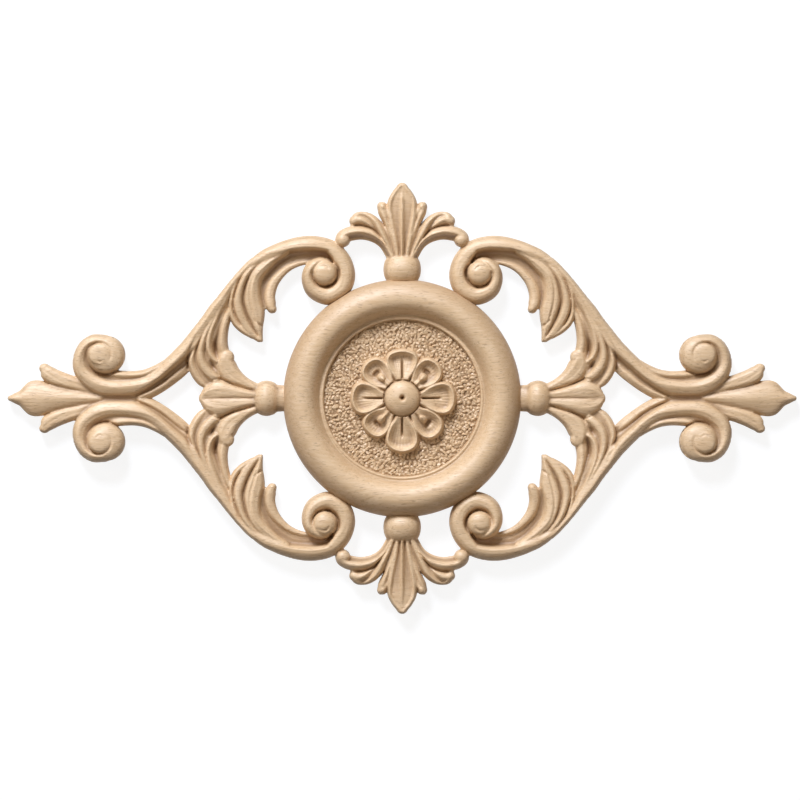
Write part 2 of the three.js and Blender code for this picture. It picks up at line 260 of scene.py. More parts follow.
class Relief:
    """A quarter of the carving as heights on a grid, joined by keeping the highest."""

    def __init__(self, step: float, reach: tuple[float, float], margin: float = 7.0) -> None:
        """Lays out the grid.

        Args:
            step: Grid step in drawn millimetres.
            reach: How far the quarter goes along the length and up.
            margin: How far the grid goes past the middle lines, for what crosses them.
        """
        self.fold = int(round(margin / step))
        self.xs = np.arange(-self.fold, int(reach[0] / step) + 2) * step
        self.zs = np.arange(-self.fold, int(reach[1] / step) + 2) * step
        self.x, self.z = np.meshgrid(self.xs, self.zs)
        self.height = np.zeros_like(self.x)
        self.inside = np.full_like(self.x, OUTSIDE)

    def _patch(self, line: np.ndarray, reach: float) -> tuple[slice, slice] | None:
        """The part of the grid within reach of a line, or None where there is none.

        Args:
            line: Rows that start with x and z.
            reach: How far from the line the part goes.

        Returns:
            Its rows and its columns, or None.
        """
        low, high = line[:, :2].min(0) - reach, line[:, :2].max(0) + reach
        columns = np.flatnonzero((self.xs >= low[0]) & (self.xs <= high[0]))
        rows = np.flatnonzero((self.zs >= low[1]) & (self.zs <= high[1]))
        if not len(columns) or not len(rows):
            return None
        return slice(rows[0], rows[-1] + 1), slice(columns[0], columns[-1] + 1)

    def add(self, strip: Strip) -> None:
        """Joins a strip to the carving.

        Args:
            strip: The strip.
        """
        line = smooth_line(strip.rows)
        patch = self._patch(line, line[:, 2:4].max() + 2 * SKIRT)
        if patch is None:
            return
        shape = self.x[patch].shape
        near = nearest_on(line, self.x[patch].ravel(), self.z[patch].ravel())
        width = np.maximum(np.where(near.left, near.row[:, 2], near.row[:, 3]), THIN)
        lean = near.row[:, 5] if line.shape[1] > 5 else 0.0
        signed = np.where(near.left, near.distance, -near.distance)
        high_side = signed > lean
        span = np.where(high_side, near.row[:, 2] - lean, near.row[:, 3] + lean)
        span = np.maximum(span, THIN)
        across = np.clip(np.abs(signed - lean) / span, 0, 1)
        fall = np.zeros_like(across)
        for side, kind in ((high_side, strip.left), (~high_side, strip.right)):
            p, q = kind.value
            fall[side] = np.maximum(0, 1 - across[side] ** p) ** (1 / q)
        top = strip.edge + (near.row[:, 4] - strip.edge) * fall
        flat_top = 1 - across**4
        if strip.flutes:
            wave = 0.5 - 0.5 * np.cos(np.pi * strip.flutes * (np.where(high_side, across, -across) + 1))
            top -= strip.flute_depth * (1 - wave) * flat_top * np.clip(span / FLUTE_SPAN, FLUTE_LEAST, 1)
        waver = TOOL_WAVER * np.sin(near.share * TOOL_TURNS + line[0, 0])
        top += strip.tool_marks * np.cos(2 * np.pi * signed / TOOL_WIDTH + waver) * flat_top
        gap = width - near.distance
        top = np.where(gap > -SKIRT, top, 0)
        self.height[patch] = np.maximum(self.height[patch], top.reshape(shape))
        self.inside[patch] = np.maximum(self.inside[patch], gap.reshape(shape))

    def raise_dome(self, dome: Dome) -> None:
        """Joins a round boss to the carving.

        Args:
            dome: The boss.
        """
        radius = np.hypot(self.x - dome.x, self.z - dome.z)
        share = np.clip(radius / dome.radius, 0, 1)
        top = dome.rim + (dome.top - dome.rim) * np.sqrt(1 - share**DOME_POWER)
        self.height = np.where(radius < dome.radius, np.maximum(self.height, top), self.height)
        self.inside = np.maximum(self.inside, dome.radius - radius)

    def cut(self, groove: Groove) -> None:
        """Cuts a line into the carving.

        Args:
            groove: The line.
        """
        line = smooth_line(groove.rows, 5)
        patch = self._patch(line, 3 * line[:, 2].max())
        if patch is None:
            return
        shape = self.x[patch].shape
        near = nearest_on(line, self.x[patch].ravel(), self.z[patch].ravel())
        cut = near.row[:, 3] * np.exp(-((near.distance / np.maximum(near.row[:, 2], THIN)) ** 2))
        self.height[patch] -= cut.reshape(shape)

    def quarter(self, values: np.ndarray) -> np.ndarray:
        """Folds what crosses the middle lines back, and keeps the quarter itself.

        Args:
            values: A value for each point of the grid.

        Returns:
            The values of the quarter.
        """
        n = self.fold
        folded = values[n:, n:].copy()
        folded[: n + 1] = np.maximum(folded[: n + 1], values[: n + 1, n:][::-1])
        folded[:, : n + 1] = np.maximum(folded[:, : n + 1], values[n:, : n + 1][:, ::-1])
        return folded

    def whole(self, values: np.ndarray) -> np.ndarray:
        """Mirrors the quarter to all four sides.

        Args:
            values: A value for each point of the grid.

        Returns:
            The values of all four quarters.
        """
        quarter = self.quarter(values)
        half = np.concatenate([quarter[:, :0:-1], quarter], axis=1)
        return np.concatenate([half[:0:-1], half], axis=0)

    def axes(self) -> tuple[np.ndarray, np.ndarray]:
        """The places of the whole's columns and rows."""
        x, z = self.xs[self.fold:], self.zs[self.fold:]
        return np.concatenate([-x[:0:-1], x]), np.concatenate([-z[:0:-1], z])


def blur(values: np.ndarray, sigma: float) -> np.ndarray:
    """Softens a grid of values with a bell of sigma cells.

    Args:
        values: The grid.
        sigma: Width of the bell in cells.

    Returns:
        The softened grid.
    """
    pad = int(3 * sigma) + 1
    padded = np.pad(values, pad, mode="edge")
    v = np.fft.fftfreq(padded.shape[0])[:, None]
    u = np.fft.rfftfreq(padded.shape[1])[None]
    bell = np.exp(-2 * (np.pi * sigma) ** 2 * (u**2 + v**2))
    soft = np.fft.irfft2(np.fft.rfft2(padded) * bell, s=padded.shape)
    return soft[pad:-pad, pad:-pad]


def blur_within(values: np.ndarray, inside: np.ndarray, sigma: float) -> np.ndarray:
    """Softens a grid of values, and counts only the places inside."""
    weight = np.maximum(blur(inside.astype(float), sigma), LEAST_WEIGHT)
    return blur(np.where(inside, values, 0), sigma) / weight


def hollow_of(height: np.ndarray, inside: np.ndarray, sigma: float, span: float) -> np.ndarray:
    """How deep each place lies below its surroundings, from 0 to 1.

    Args:
        height: Heights of the relief.
        inside: True where there is material.
        sigma: Size of the surroundings in cells.
        span: Depth that counts as 1.

    Returns:
        The share for each place.
    """
    return np.clip((blur_within(height, inside, sigma) - height) / span, 0, 1)


def turned(x: np.ndarray, z: np.ndarray, turn: int) -> tuple[np.ndarray, np.ndarray]:
    """Turns places into those along and across one petal of the rosette.

    Args:
        x: Places along the length.
        z: Places up.
        turn: The petal's number, anticlockwise from the right.

    Returns:
        The places along the petal and across it.
    """
    angle = turn * 2 * math.pi / PETALS
    cosine, sine = math.cos(angle), math.sin(angle)
    return x * cosine + z * sine, z * cosine - x * sine


@dataclass
class ReliefMesh:
    """Turns a whole relief into a closed mesh with walls and a flat back."""

    xs: np.ndarray
    zs: np.ndarray
    height: np.ndarray
    inside: np.ndarray
    back: float = 0.0
    snap: float = 0.35

    def _snapped(self) -> tuple[np.ndarray, np.ndarray, np.ndarray]:
        """Moves grid points that nearly lie on the outline onto it.

        Returns:
            The places along the length and up, and the distances inside the outline.
        """
        step = self.xs[1] - self.xs[0]
        x, z = np.meshgrid(self.xs, self.zs)
        dz, dx = np.gradient(self.inside, step)
        slope = np.maximum(np.hypot(dx, dz), LEAST_SLOPE)
        near = np.abs(self.inside) < self.snap * step * slope
        shift = np.where(near, self.inside / slope, 0)
        return x - shift * dx / slope, z - shift * dz / slope, np.where(near, 0.0, self.inside)

    def build(self, name: str, drawn: Drawn) -> bpy.types.Object:
        """Makes the mesh.

        Args:
            name: The object's name.
            drawn: The scales into the frame.

        Returns:
            The closed object.
        """
        x, z, level = self._snapped()
        rows, columns = level.shape
        number = np.arange(rows * columns).reshape(rows, columns)
        a, b = number[:-1, :-1].ravel(), number[:-1, 1:].ravel()
        c, d = number[1:, 1:].ravel(), number[1:, :-1].ravel()
        even = (np.arange(rows - 1)[:, None] + np.arange(columns - 1)[None]) % 2 == 0
        even = even.ravel()[:, None]
        first = np.where(even, np.stack([a, b, c], 1), np.stack([a, b, d], 1))
        second = np.where(even, np.stack([a, c, d], 1), np.stack([b, c, d], 1))
        triangles = np.concatenate([first, second])
        flat = level.ravel()
        count = (flat[triangles] > 0).sum(1)
        whole = (count + (flat[triangles] == 0).sum(1) == 3) & (count > 0)
        px, pz, ph = x.ravel(), z.ravel(), self.height.ravel()
        extra: dict[tuple[int, int], int] = {}
        more: list[tuple[float, float, float]] = []

        def crossing(i: int, j: int) -> int:
            """The new point where the outline crosses the edge from i to j.

            Args:
                i: Number of the edge's first end.
                j: Number of its second end.

            Returns:
                The new point's number.
            """
            key = (i, j) if i < j else (j, i)
            if key not in extra:
                share = flat[i] / (flat[i] - flat[j])
                extra[key] = len(px) + len(more)
                more.append((px[i] + (px[j] - px[i]) * share, pz[i] + (pz[j] - pz[i]) * share,
                             ph[i] + (ph[j] - ph[i]) * share if ph[j] > 0 else ph[i]))
            return extra[key]

        cut: list[tuple[int, int, int]] = []
        for corner in triangles[(count > 0) & ~whole]:
            shape: list[int] = []
            for i, j in zip(corner, np.roll(corner, -1)):
                if flat[i] >= 0:
                    shape.append(int(i))
                if flat[i] * flat[j] < 0:
                    shape.append(crossing(int(i), int(j)))
            for k in range(1, len(shape) - 1):
                cut.append((shape[0], shape[k], shape[k + 1]))
        faces = np.concatenate([triangles[whole], np.asarray(cut, int).reshape(-1, 3)])
        added = np.asarray(more).reshape(-1, 3)
        all_x, all_z = np.concatenate([px, added[:, 0]]), np.concatenate([pz, added[:, 1]])
        all_h = np.maximum(np.concatenate([ph, added[:, 2]]), self.back + THINNEST)
        used, faces = np.unique(faces, return_inverse=True)
        faces = faces.reshape(-1, 3)
        all_x, all_z, all_h = all_x[used], all_z[used], all_h[used]
        total = len(used)
        edges = np.concatenate([faces[:, [0, 1]], faces[:, [1, 2]], faces[:, [2, 0]]])
        code = edges[:, 0] * total + edges[:, 1]
        twin = edges[:, 1] * total + edges[:, 0]
        rim = edges[~np.isin(code, twin)]
        walls = np.concatenate([
            np.stack([rim[:, 1], rim[:, 0], rim[:, 0] + total], 1),
            np.stack([rim[:, 1], rim[:, 0] + total, rim[:, 1] + total], 1)])
        everything = np.concatenate([faces, faces[:, ::-1] + total, walls])
        places = np.concatenate([
            drawn.points(all_x, all_h, all_z),
            drawn.points(all_x, np.full(total, self.back), all_z)])
        return mesh_object(name, places, everything)


def mesh_object(name: str, places: np.ndarray, faces: np.ndarray) -> bpy.types.Object:
    """Makes an object of triangles, or of faces that all have as many corners.

    Args:
        name: The object's name.
        places: Corner places in metres.
        faces: Corner numbers of each face.

    Returns:
        The object, linked to the scene.
    """
    mesh = bpy.data.meshes.new(name)
    corners = faces.shape[1]
    mesh.vertices.add(len(places))
    mesh.vertices.foreach_set("co", places.astype(np.float32).ravel())
    mesh.loops.add(faces.size)
    mesh.loops.foreach_set("vertex_index", faces.astype(np.int32).ravel())
    mesh.polygons.add(len(faces))
    mesh.polygons.foreach_set("loop_start", np.arange(0, faces.size, corners, dtype=np.int32))
    mesh.polygons.foreach_set("use_smooth", np.ones(len(faces), bool))
    mesh.update(calc_edges=True)
    mesh.validate()
    made = bpy.data.objects.new(name, mesh)
    bpy.context.scene.collection.objects.link(made)
    return made


def applied(made: bpy.types.Object) -> bpy.types.Object:
    """Makes an object's modifiers part of its mesh and removes them.

    Args:
        made: The object.

    Returns:
        The same object.
    """
    bpy.context.view_layer.update()
    result = bpy.data.meshes.new_from_object(made.evaluated_get(bpy.context.evaluated_depsgraph_get()))
    made.modifiers.clear()
    made.data = result
    return made


def thinned(made: bpy.types.Object, most: int) -> bpy.types.Object:
    """Thins a mesh to at most a number of triangles, the flat back first.

    Args:
        made: The object.
        most: How many triangles it may have.

    Returns:
        The same object.
    """
    count = len(made.data.polygons)
    if count > most:
        modifier = made.modifiers.new("thin", "DECIMATE")
        modifier.ratio = most / count
        applied(made)
    return made


def corner_places(made: bpy.types.Object) -> np.ndarray:
    """The places of a mesh's corners, one row each.

    Args:
        made: The object.

    Returns:
        The places in metres.
    """
    places = np.empty(len(made.data.vertices) * 3, np.float32)
    made.data.vertices.foreach_get("co", places)
    return places.reshape(-1, 3)


def dress(made: bpy.types.Object, finish: bpy.types.Material | None, painted_shade: np.ndarray,
          sharp_angle: float) -> None:
    """Gives a piece its finish, its painted shade in the hollows and its sharp edges.

    Args:
        made: The piece.
        finish: Its material, or None where its node tree has set it.
        painted_shade: How much shade is painted on each corner in the hollows, from 0 to 1.
        sharp_angle: Angle in degrees from which an edge is sharp.
    """
    # Stores the painted shade, which the finish mixes in as dark brown.
    layer = made.data.attributes.new("painted_shade", "FLOAT", "POINT")
    layer.data.foreach_set("value", painted_shade.astype(np.float32))
    if finish is not None:
        made.data.materials.append(finish)
    made.data.set_sharp_from_angle(angle=math.radians(sharp_angle))


def sample(grid: np.ndarray, xs: np.ndarray, zs: np.ndarray, x: np.ndarray, z: np.ndarray) -> np.ndarray:
    """Reads a grid between its points.

    Args:
        grid: Values, one row for each place up.
        xs: Places of the columns.
        zs: Places of the rows.
        x: Places along the length to read.
        z: Places up to read.

    Returns:
        The value at each place.
    """
    u = np.clip((x - xs[0]) / (xs[1] - xs[0]), 0, len(xs) - 1.001)
    v = np.clip((z - zs[0]) / (zs[1] - zs[0]), 0, len(zs) - 1.001)
    i, j = u.astype(int), v.astype(int)
    a, b = u - i, v - j
    return ((grid[j, i] * (1 - a) + grid[j, i + 1] * a) * (1 - b)
            + (grid[j + 1, i] * (1 - a) + grid[j + 1, i + 1] * a) * b)


@dataclass(frozen=True)
class PulpFinish:
    """Colours, grain and marks of the pressed pulp, and its painted shade. Colours are linear, and sizes are in
    metres.
    """

    pale: Colour = (0.74, 0.55, 0.352)
    warm: Colour = (0.59, 0.39, 0.205)
    fleck: Colour = (0.30, 0.165, 0.075)
    # painted shade: the dark brown that stands in for the shade that falls in hollows
    painted_shade_colour: Colour = (0.225, 0.108, 0.036)
    streak_size: Size = (0.011, 0.0022, 0.0011)
    tone_size: Size = (0.045, 0.03, 0.022)
    thread_size: Size = (0.006, 0.0006, 0.0004)
    fleck_size: Size = (0.0036, 0.0006, 0.00042)
    fine_size: Size = (0.0016, 0.0006, 0.0005)
    bend_size: Size = (0.05, 0.05, 0.02)
    bend_reach: float = 0.012
    streak_share: float = 0.75
    tone_share: float = 0.35
    thread_share: float = 0.45
    fleck_share: float = 0.5
    # how strongly the painted shade is mixed in where it is deepest
    painted_shade_strength: float = 0.9
    roughness: float = 0.54
    roughness_spread: float = 0.18
    specular: float = 0.9
    bump_strength: float = 0.35
    bump_depth: float = 0.00035


class Shade:
    """A value socket that takes arithmetic and adds the Math nodes for it."""

    def __init__(self, maker: "FinishMaker", socket: bpy.types.NodeSocket) -> None:
        """Wraps one output socket."""
        self.maker = maker
        self.socket = socket

    def _join(self, operation: str, one: "Shade | float", two: "Shade | float") -> "Shade":
        """A Math node of one operation on two values."""
        return self.maker.node("ShaderNodeMath", {"operation": operation}, {0: one, 1: two})

    def __add__(self, other: "Shade | float") -> "Shade":
        """Sum."""
        return self._join("ADD", self, other)

    def __radd__(self, other: float) -> "Shade":
        """Sum with a number first."""
        return self._join("ADD", other, self)

    def __sub__(self, other: "Shade | float") -> "Shade":
        """Difference."""
        return self._join("SUBTRACT", self, other)

    def __mul__(self, other: "Shade | float") -> "Shade":
        """Product."""
        return self._join("MULTIPLY", self, other)


class FinishMaker:
    """Builds a material, one node at a time."""

    def __init__(self, name: str) -> None:
        """Starts an empty material.

        Args:
            name: The material's name.
        """
        self.material = bpy.data.materials.new(name)
        self.material.use_nodes = True
        self.tree = self.material.node_tree
        self.tree.nodes.clear()

    def node(self, kind: str, settings: dict[str, object] | None = None,
             inputs: dict[int | str, object] | None = None, output: int | str = 0) -> Shade:
        """Adds a node.

        Args:
            kind: The node's type.
            settings: The node's own settings, set first.
            inputs: Values or links for its sockets, by name or number.
            output: The socket to return.

        Returns:
            The chosen output.
        """
        made = self.tree.nodes.new(kind)
        for key, value in (settings or {}).items():
            if key == "stops":
                self._set_stops(made, value)
            else:
                setattr(made, key, value)
        for key, value in (inputs or {}).items():
            if isinstance(value, Shade):
                self.tree.links.new(value.socket, made.inputs[key])
            else:
                made.inputs[key].default_value = value
        return Shade(self, made.outputs[output])

    @staticmethod
    def _set_stops(made: bpy.types.Node, stops: Sequence[tuple[float, float]]) -> None:
        """Sets a ramp's stops, each a place and a grey value.

        Args:
            made: The ramp's node.
            stops: Its stops.
        """
        ramp = made.color_ramp
        while len(ramp.elements) < len(stops):
            ramp.elements.new(0.5)
        for element, (place, grey) in zip(ramp.elements, stops):
            element.position = place
            element.color = (grey, grey, grey, 1)

    def finished(self, surface: Shade) -> bpy.types.Material:
        """Links a shader to the output and returns the material.

        Args:
            surface: The shader.

        Returns:
            The material.
        """
        out = self.tree.nodes.new("ShaderNodeOutputMaterial")
        self.tree.links.new(surface.socket, out.inputs["Surface"])
        return self.material

    def ramp(self, value: Shade, stops: Sequence[tuple[float, float]]) -> Shade:
        """Maps a value through a ramp of grey stops."""
        return self.node("ShaderNodeValToRGB", {"stops": stops}, {"Fac": value})

    def mix(self, factor: Shade, one: object, two: object) -> Shade:
        """Mixes two colours."""
        return self.node("ShaderNodeMix", {"data_type": "RGBA"}, {0: factor, 6: one, 7: two}, output=2)

    def noise(self, coordinates: Shade, size: Size, detail: float, roughness: float = 0.55) -> Shade:
        """Soft noise of a given grain size in metres.

        Args:
            coordinates: Where it is read.
            size: The grain's size on each axis.
            detail: How many finer layers it has.
            roughness: How strong they are.

        Returns:
            The noise, from 0 to 1.
        """
        scaled = self.node("ShaderNodeVectorMath", {"operation": "DIVIDE"}, {0: coordinates, 1: size})
        return self.node("ShaderNodeTexNoise", None,
                         {"Vector": scaled, "Scale": 1.0, "Detail": detail, "Roughness": roughness})


def opaque(colour: Colour) -> tuple[float, float, float, float]:
    """A colour with full alpha."""
    return (*colour, 1.0)


def pulp_material(finish: PulpFinish) -> bpy.types.Material:
    """The pressed pulp: pale beige with short grain along the length, and shade painted darker into its
    hollows.

    Args:
        finish: Its colours and grain.

    Returns:
        The material.
    """
    maker = FinishMaker("pressed_pulp")
    place = maker.node("ShaderNodeTexCoord", output="Object")
    bend = (maker.noise(place, finish.bend_size, 1) - 0.5) * finish.bend_reach
    offset = maker.node("ShaderNodeCombineXYZ", None, {2: bend})
    bent = maker.node("ShaderNodeVectorMath", {"operation": "ADD"}, {0: place, 1: offset})
    streaks = maker.noise(bent, finish.streak_size, 3)
    tone = maker.noise(place, finish.tone_size, 2)
    thread = maker.noise(bent, finish.thread_size, 2, 0.6)
    flecks = maker.ramp(maker.noise(bent, finish.fleck_size, 2, 0.45), [(0.0, 0.0), (0.59, 0.0), (0.68, 1.0)])
    fine = maker.noise(bent, finish.fine_size, 2)
    # Painted shade: each corner's share of shade in the hollows, mixed towards the dark brown below.
    painted_shade = maker.node("ShaderNodeAttribute", {"attribute_name": "painted_shade"}, output="Fac")
    colour: object = opaque(finish.pale)
    for share, over in (
            (maker.ramp(streaks, [(0.32, 0.0), (0.68, 1.0)]) * finish.streak_share, finish.warm),
            (maker.ramp(tone, [(0.35, 0.0), (0.7, 1.0)]) * finish.tone_share, finish.warm),
            (maker.ramp(thread, [(0.45, 0.0), (0.7, 1.0)]) * finish.thread_share, finish.warm),
            (flecks * finish.fleck_share, finish.fleck),
            (maker.ramp(painted_shade, [(0.0, 0.0), (0.3, 0.6), (0.8, 1.0)]) * finish.painted_shade_strength, finish.painted_shade_colour)):
        colour = maker.mix(share, colour, opaque(over))
    relief = streaks * 0.5 + fine * 0.5 - flecks * 0.6
    bump = maker.node("ShaderNodeBump", None, {
        "Strength": finish.bump_strength, "Distance": finish.bump_depth, "Height": relief}, "Normal")
    return maker.finished(maker.node("ShaderNodeBsdfPrincipled", None, {
        "Base Color": colour, "Roughness": finish.roughness + (streaks - 0.5) * finish.roughness_spread,
        "Normal": bump, "Specular IOR Level": finish.specular}))


@dataclass(frozen=True)
class Carving:
    """A part of the carving, drawn for one quarter, with the height of its crest."""

    crest: float = 0.0

    def strip(self, rows: Rows, **form: object) -> Strip:
        """Makes one of the part's strips.

        Args:
            rows: Each is x, z, half-width, and height over the crest. It may have two half-widths,
                for left and right, and may then end with how far the crest leans to the left.
            form: The other fields of the strip.

        Returns:
            The strip, with its heights over the back.
        """
        full = []
        for row in rows:
            if len(row) == 4:
                row = (*row[:3], *row[2:])
            full.append((*row[:4], self.crest + row[4], *row[5:]))
        return Strip(full, **form)

    def fill(self, rows: Rows) -> Strip:
        """Makes a low flat strip, which closes what lies under the others."""
        return self.strip(rows, left=Fall.FLAT, right=Fall.FLAT)

    def strips(self) -> list[Strip]:
        """The strips that the part is made of."""
        return []

    def domes(self) -> list[Dome]:
        """Its round bosses."""
        return []

    def grooves(self) -> list[Groove]:
        """Its cut lines."""
        return []


@dataclass(frozen=True)
class Stem(Carving):
    """The stem from the big leaf down to the end, which curls into the end scroll."""

    crest: float = 11.0

    def strips(self) -> list[Strip]:
        """The rail, the thin rail below it, the band and its outer lip.

        Returns:
            The strips of one quarter.
        """
        rail = [
            (70, 72.5, 1.8, 1.2, -1.6, 0.2), (76, 68.3, 2.2, 1.2, -1.3, 0.5), (82, 61.8, 2.4, 1.6, -1, 0.6),
            (86.4, 55.5, 3.1, 1.8, -0.8, 1.2), (90, 48.6, 4.6, 2.4, -0.6, 2.3),
            (93.4, 43, 5.5, 2.6, -0.5, 3.1), (97, 37.6, 5.6, 2, -0.4, 3.1),
            (101.3, 31.8, 5.8, 1.8, -0.4, 3), (106, 25.6, 6, 2.4, -0.3, 2.4), (110, 21.2, 6, 3, -0.1, 1.8),
            (115, 16.8, 5.6, 3.2, 0, 1.2), (120, 12.6, 5.4, 3.4, 0, 0.6), (125, 9.4, 5, 3.8, 0, 0),
            (130, 7.3, 4.6, 4.2, 0, 0), (136, 6.2, 4.2, 5.2, 0, 0), (145, 5.6, 4.2, 5, -0.1, 0),
            (152, 6.6, 4.4, 5.4, -0.1, 0), (158, 10, 4.2, 5, -0.1, -0.8), (161.8, 15, 3.6, 4.6, 0, -1.2),
            (162.4, 20.6, 3.4, 4, 0.2, -1), (160.2, 25.8, 3.4, 3.7, 0.5, -0.5),
            (156, 28.9, 3.4, 3.4, 0.9, 0), (150.6, 29.2, 3, 3, 1.2, 0),
        ]
        thin_rail = [
            (104.5, 21, 1.2, 1.4, -6, 0.3), (108, 17, 2, 2.2, -5.2, 0.9),
            (112.1, 13.2, 2.5, 2.6, -3.9, 1.3), (117, 9.4, 2.6, 2.7, -3.1, 1.4),
            (122, 5.9, 2.6, 2.7, -2.7, 1.4), (127, 2.8, 2.5, 2.5, -2.6, 1.2), (132, 0.6, 2.2, 2.2, -3, 0.6),
        ]
        lip = [
            (118, 19.8, 1, -3.4), (124, 15.6, 1.6, 1.8, -2.2), (130, 12.8, 1.9, 2.4, -1.5),
            (136, 11.8, 2, 2.6, -1.2), (142, 11.8, 2.2, 2.4, -1.2), (147, 12.6, 1.8, 2, -1.4),
        ]
        floor = [
            (126, 12, 2, -2.6), (134, 10, 2.4, -2.6), (143, 10, 2.6, -2.6), (150, 11, 2.6, -3),
            (156, 13, 2.4, 2, -2.8), (159.4, 17, 2.2, 2, -2), (159.6, 22.5, 1.8, -1.2),
            (157, 26.4, 1.4, -0.4),
        ]
        web = [(131, 0, 1, -4.6), (138, 0.6, 2.4, -4.2), (150, 0.6, 2.4, -4.2), (158, 2, 2.4, -4.2)]
        return [
            self.strip(rail, flutes=3, flute_depth=0.26), self.strip(thin_rail, right=Fall.KEEL, edge=4.8),
            self.strip(lip), self.fill(floor), self.fill(web),
        ]

    def domes(self) -> list[Dome]:
        """The knob that ends the curl and the button on it.

        Returns:
            The bosses of one quarter.
        """
        return [
            Dome(150, 22, 9.7, 8.6, self.crest + 2.5),
            Dome(152.8, 22.2, 5.5, self.crest + 1.4, self.crest + 3),
        ]

    def grooves(self) -> list[Groove]:
        """The lines that wind into the button, its dark foot and the cove over the thin rail.

        Returns:
            The cut lines of one quarter.
        """
        return [
            spiral(152.7, 22.1, 6.1, 5.7, 32, 176, 0.5, 2, 0.8),
            spiral(150.2, 21.8, 9.9, 8.9, -150, 182, 0.75, 2.6, 0.85),
            Groove([(151, 19.2, 0.3, 0.5), (152.6, 18.5, 0.35, 0.9), (154.2, 19.4, 0.3, 0.4)]),
            Groove([(104, 26.4, 0.6, 0.4), (108.2, 21.1, 1.1, 2.2), (112.1, 17.2, 1.3, 3.2),
                    (116.1, 13.8, 1.4, 3.4), (120.6, 9.8, 1.4, 3.4), (124.5, 7, 1.3, 3),
                    (129, 4.2, 1.1, 2.2), (134.7, 1.6, 0.8, 1)]),
        ]


@dataclass(frozen=True)
class TopScroll(Carving):
    """The scroll over the big leaf, which curls back onto the round frame."""

    crest: float = 10.8

    def strips(self) -> list[Strip]:
        """The scroll's band, its shoulder over the leaf, its curl and the floor of its channel.

        Returns:
            The strips of one quarter.
        """
        band = [
            (68.3, 72.6, 2, 3.3, -0.7), (60, 74.9, 3.8, 4.6, -0.4), (51, 76.1, 4.8, 5.8, -0.2),
            (43, 76.1, 4.8, 5.9, -0.2), (36, 74.3, 4.6, 5.4, -0.2), (30.4, 69.3, 4.2, 4.7, -0.1),
            (28.4, 62, 4, 4.6, 0), (30.9, 55.4, 4.2, 4.5, 0.2), (38.2, 51.9, 4.6, 4.3, 0.4),
        ]
        shoulder = [
            (84, 59, 1.8, 1.4, -2.2), (80.4, 63.4, 2.4, 1.7, -1.8), (76.5, 67.5, 3.2, 2, -1.4),
            (72.4, 70.6, 4, 2.6, -1.1), (68.3, 72.6, 4.4, 3.3, -0.9), (64.5, 73.8, 3.6, 3.8, -0.7),
            (61, 74.6, 2.4, 4, -0.5), (57.5, 75.3, 1, 4, -0.4), (54, 75.8, 0.4, 4, -0.3),
        ]
        curl = [
            (36.4, 74.3, 1.6, 4, -0.5), (33, 71.4, 3, 4, -0.3), (30, 66.8, 4.7, 4.2, -0.1),
            (28.6, 61.5, 5.4, 4, 0), (30, 56.6, 5.4, 4.2, 0.1), (33.4, 53.2, 5.2, 4.2, 0.2),
            (38.2, 51.7, 5, 4.4, 0.3), (44.6, 54.5, 4, 4.1, 0.6), (47.5, 60, 3.3, 3.4, 0.9),
            (46.9, 65, 2.7, 2.9, 1.2), (43.8, 68.4, 2.1, 2.4, 0.6), (40.6, 69.8, 1.3, 1.6, -0.8),
            (37.6, 69.4, 0.8, 1, -1.8),
        ]
        floor = [
            (40, 72, 3, -5.2), (46, 72, 3, 3.2, -5.6), (52, 71.5, 3, -5.8), (58, 69.5, 3.4, 3, -5.9),
            (63.5, 66, 3.4, 3, -5.9), (68, 60.5, 2.8, 2.6, -5.8), (70.3, 54, 2.4, 2.2, -5.6),
            (70.3, 46.5, 2, 1.8, -5.4),
        ]
        return [
            self.strip(band, left=Fall.SHEER, flutes=2, flute_depth=0.12), self.strip(shoulder),
            self.strip(curl, left=Fall.FULL), self.fill(floor),
        ]

    def domes(self) -> list[Dome]:
        """The button in the curl."""
        return [Dome(39.2, 63.2, 6.4, 8.4, self.crest + 2.3)]

    def grooves(self) -> list[Groove]:
        """The deep line around the button and the short one on it.

        Returns:
            The cut lines of one quarter.
        """
        return [
            spiral(39.2, 63.2, 7.2, 6.3, 130, 230, 0.9, 3, 0.7),
            Groove([(37, 65.1, 0.3, 0.7), (38.9, 66.7, 0.35, 1.2), (43, 66, 0.3, 0.4)]),
        ]


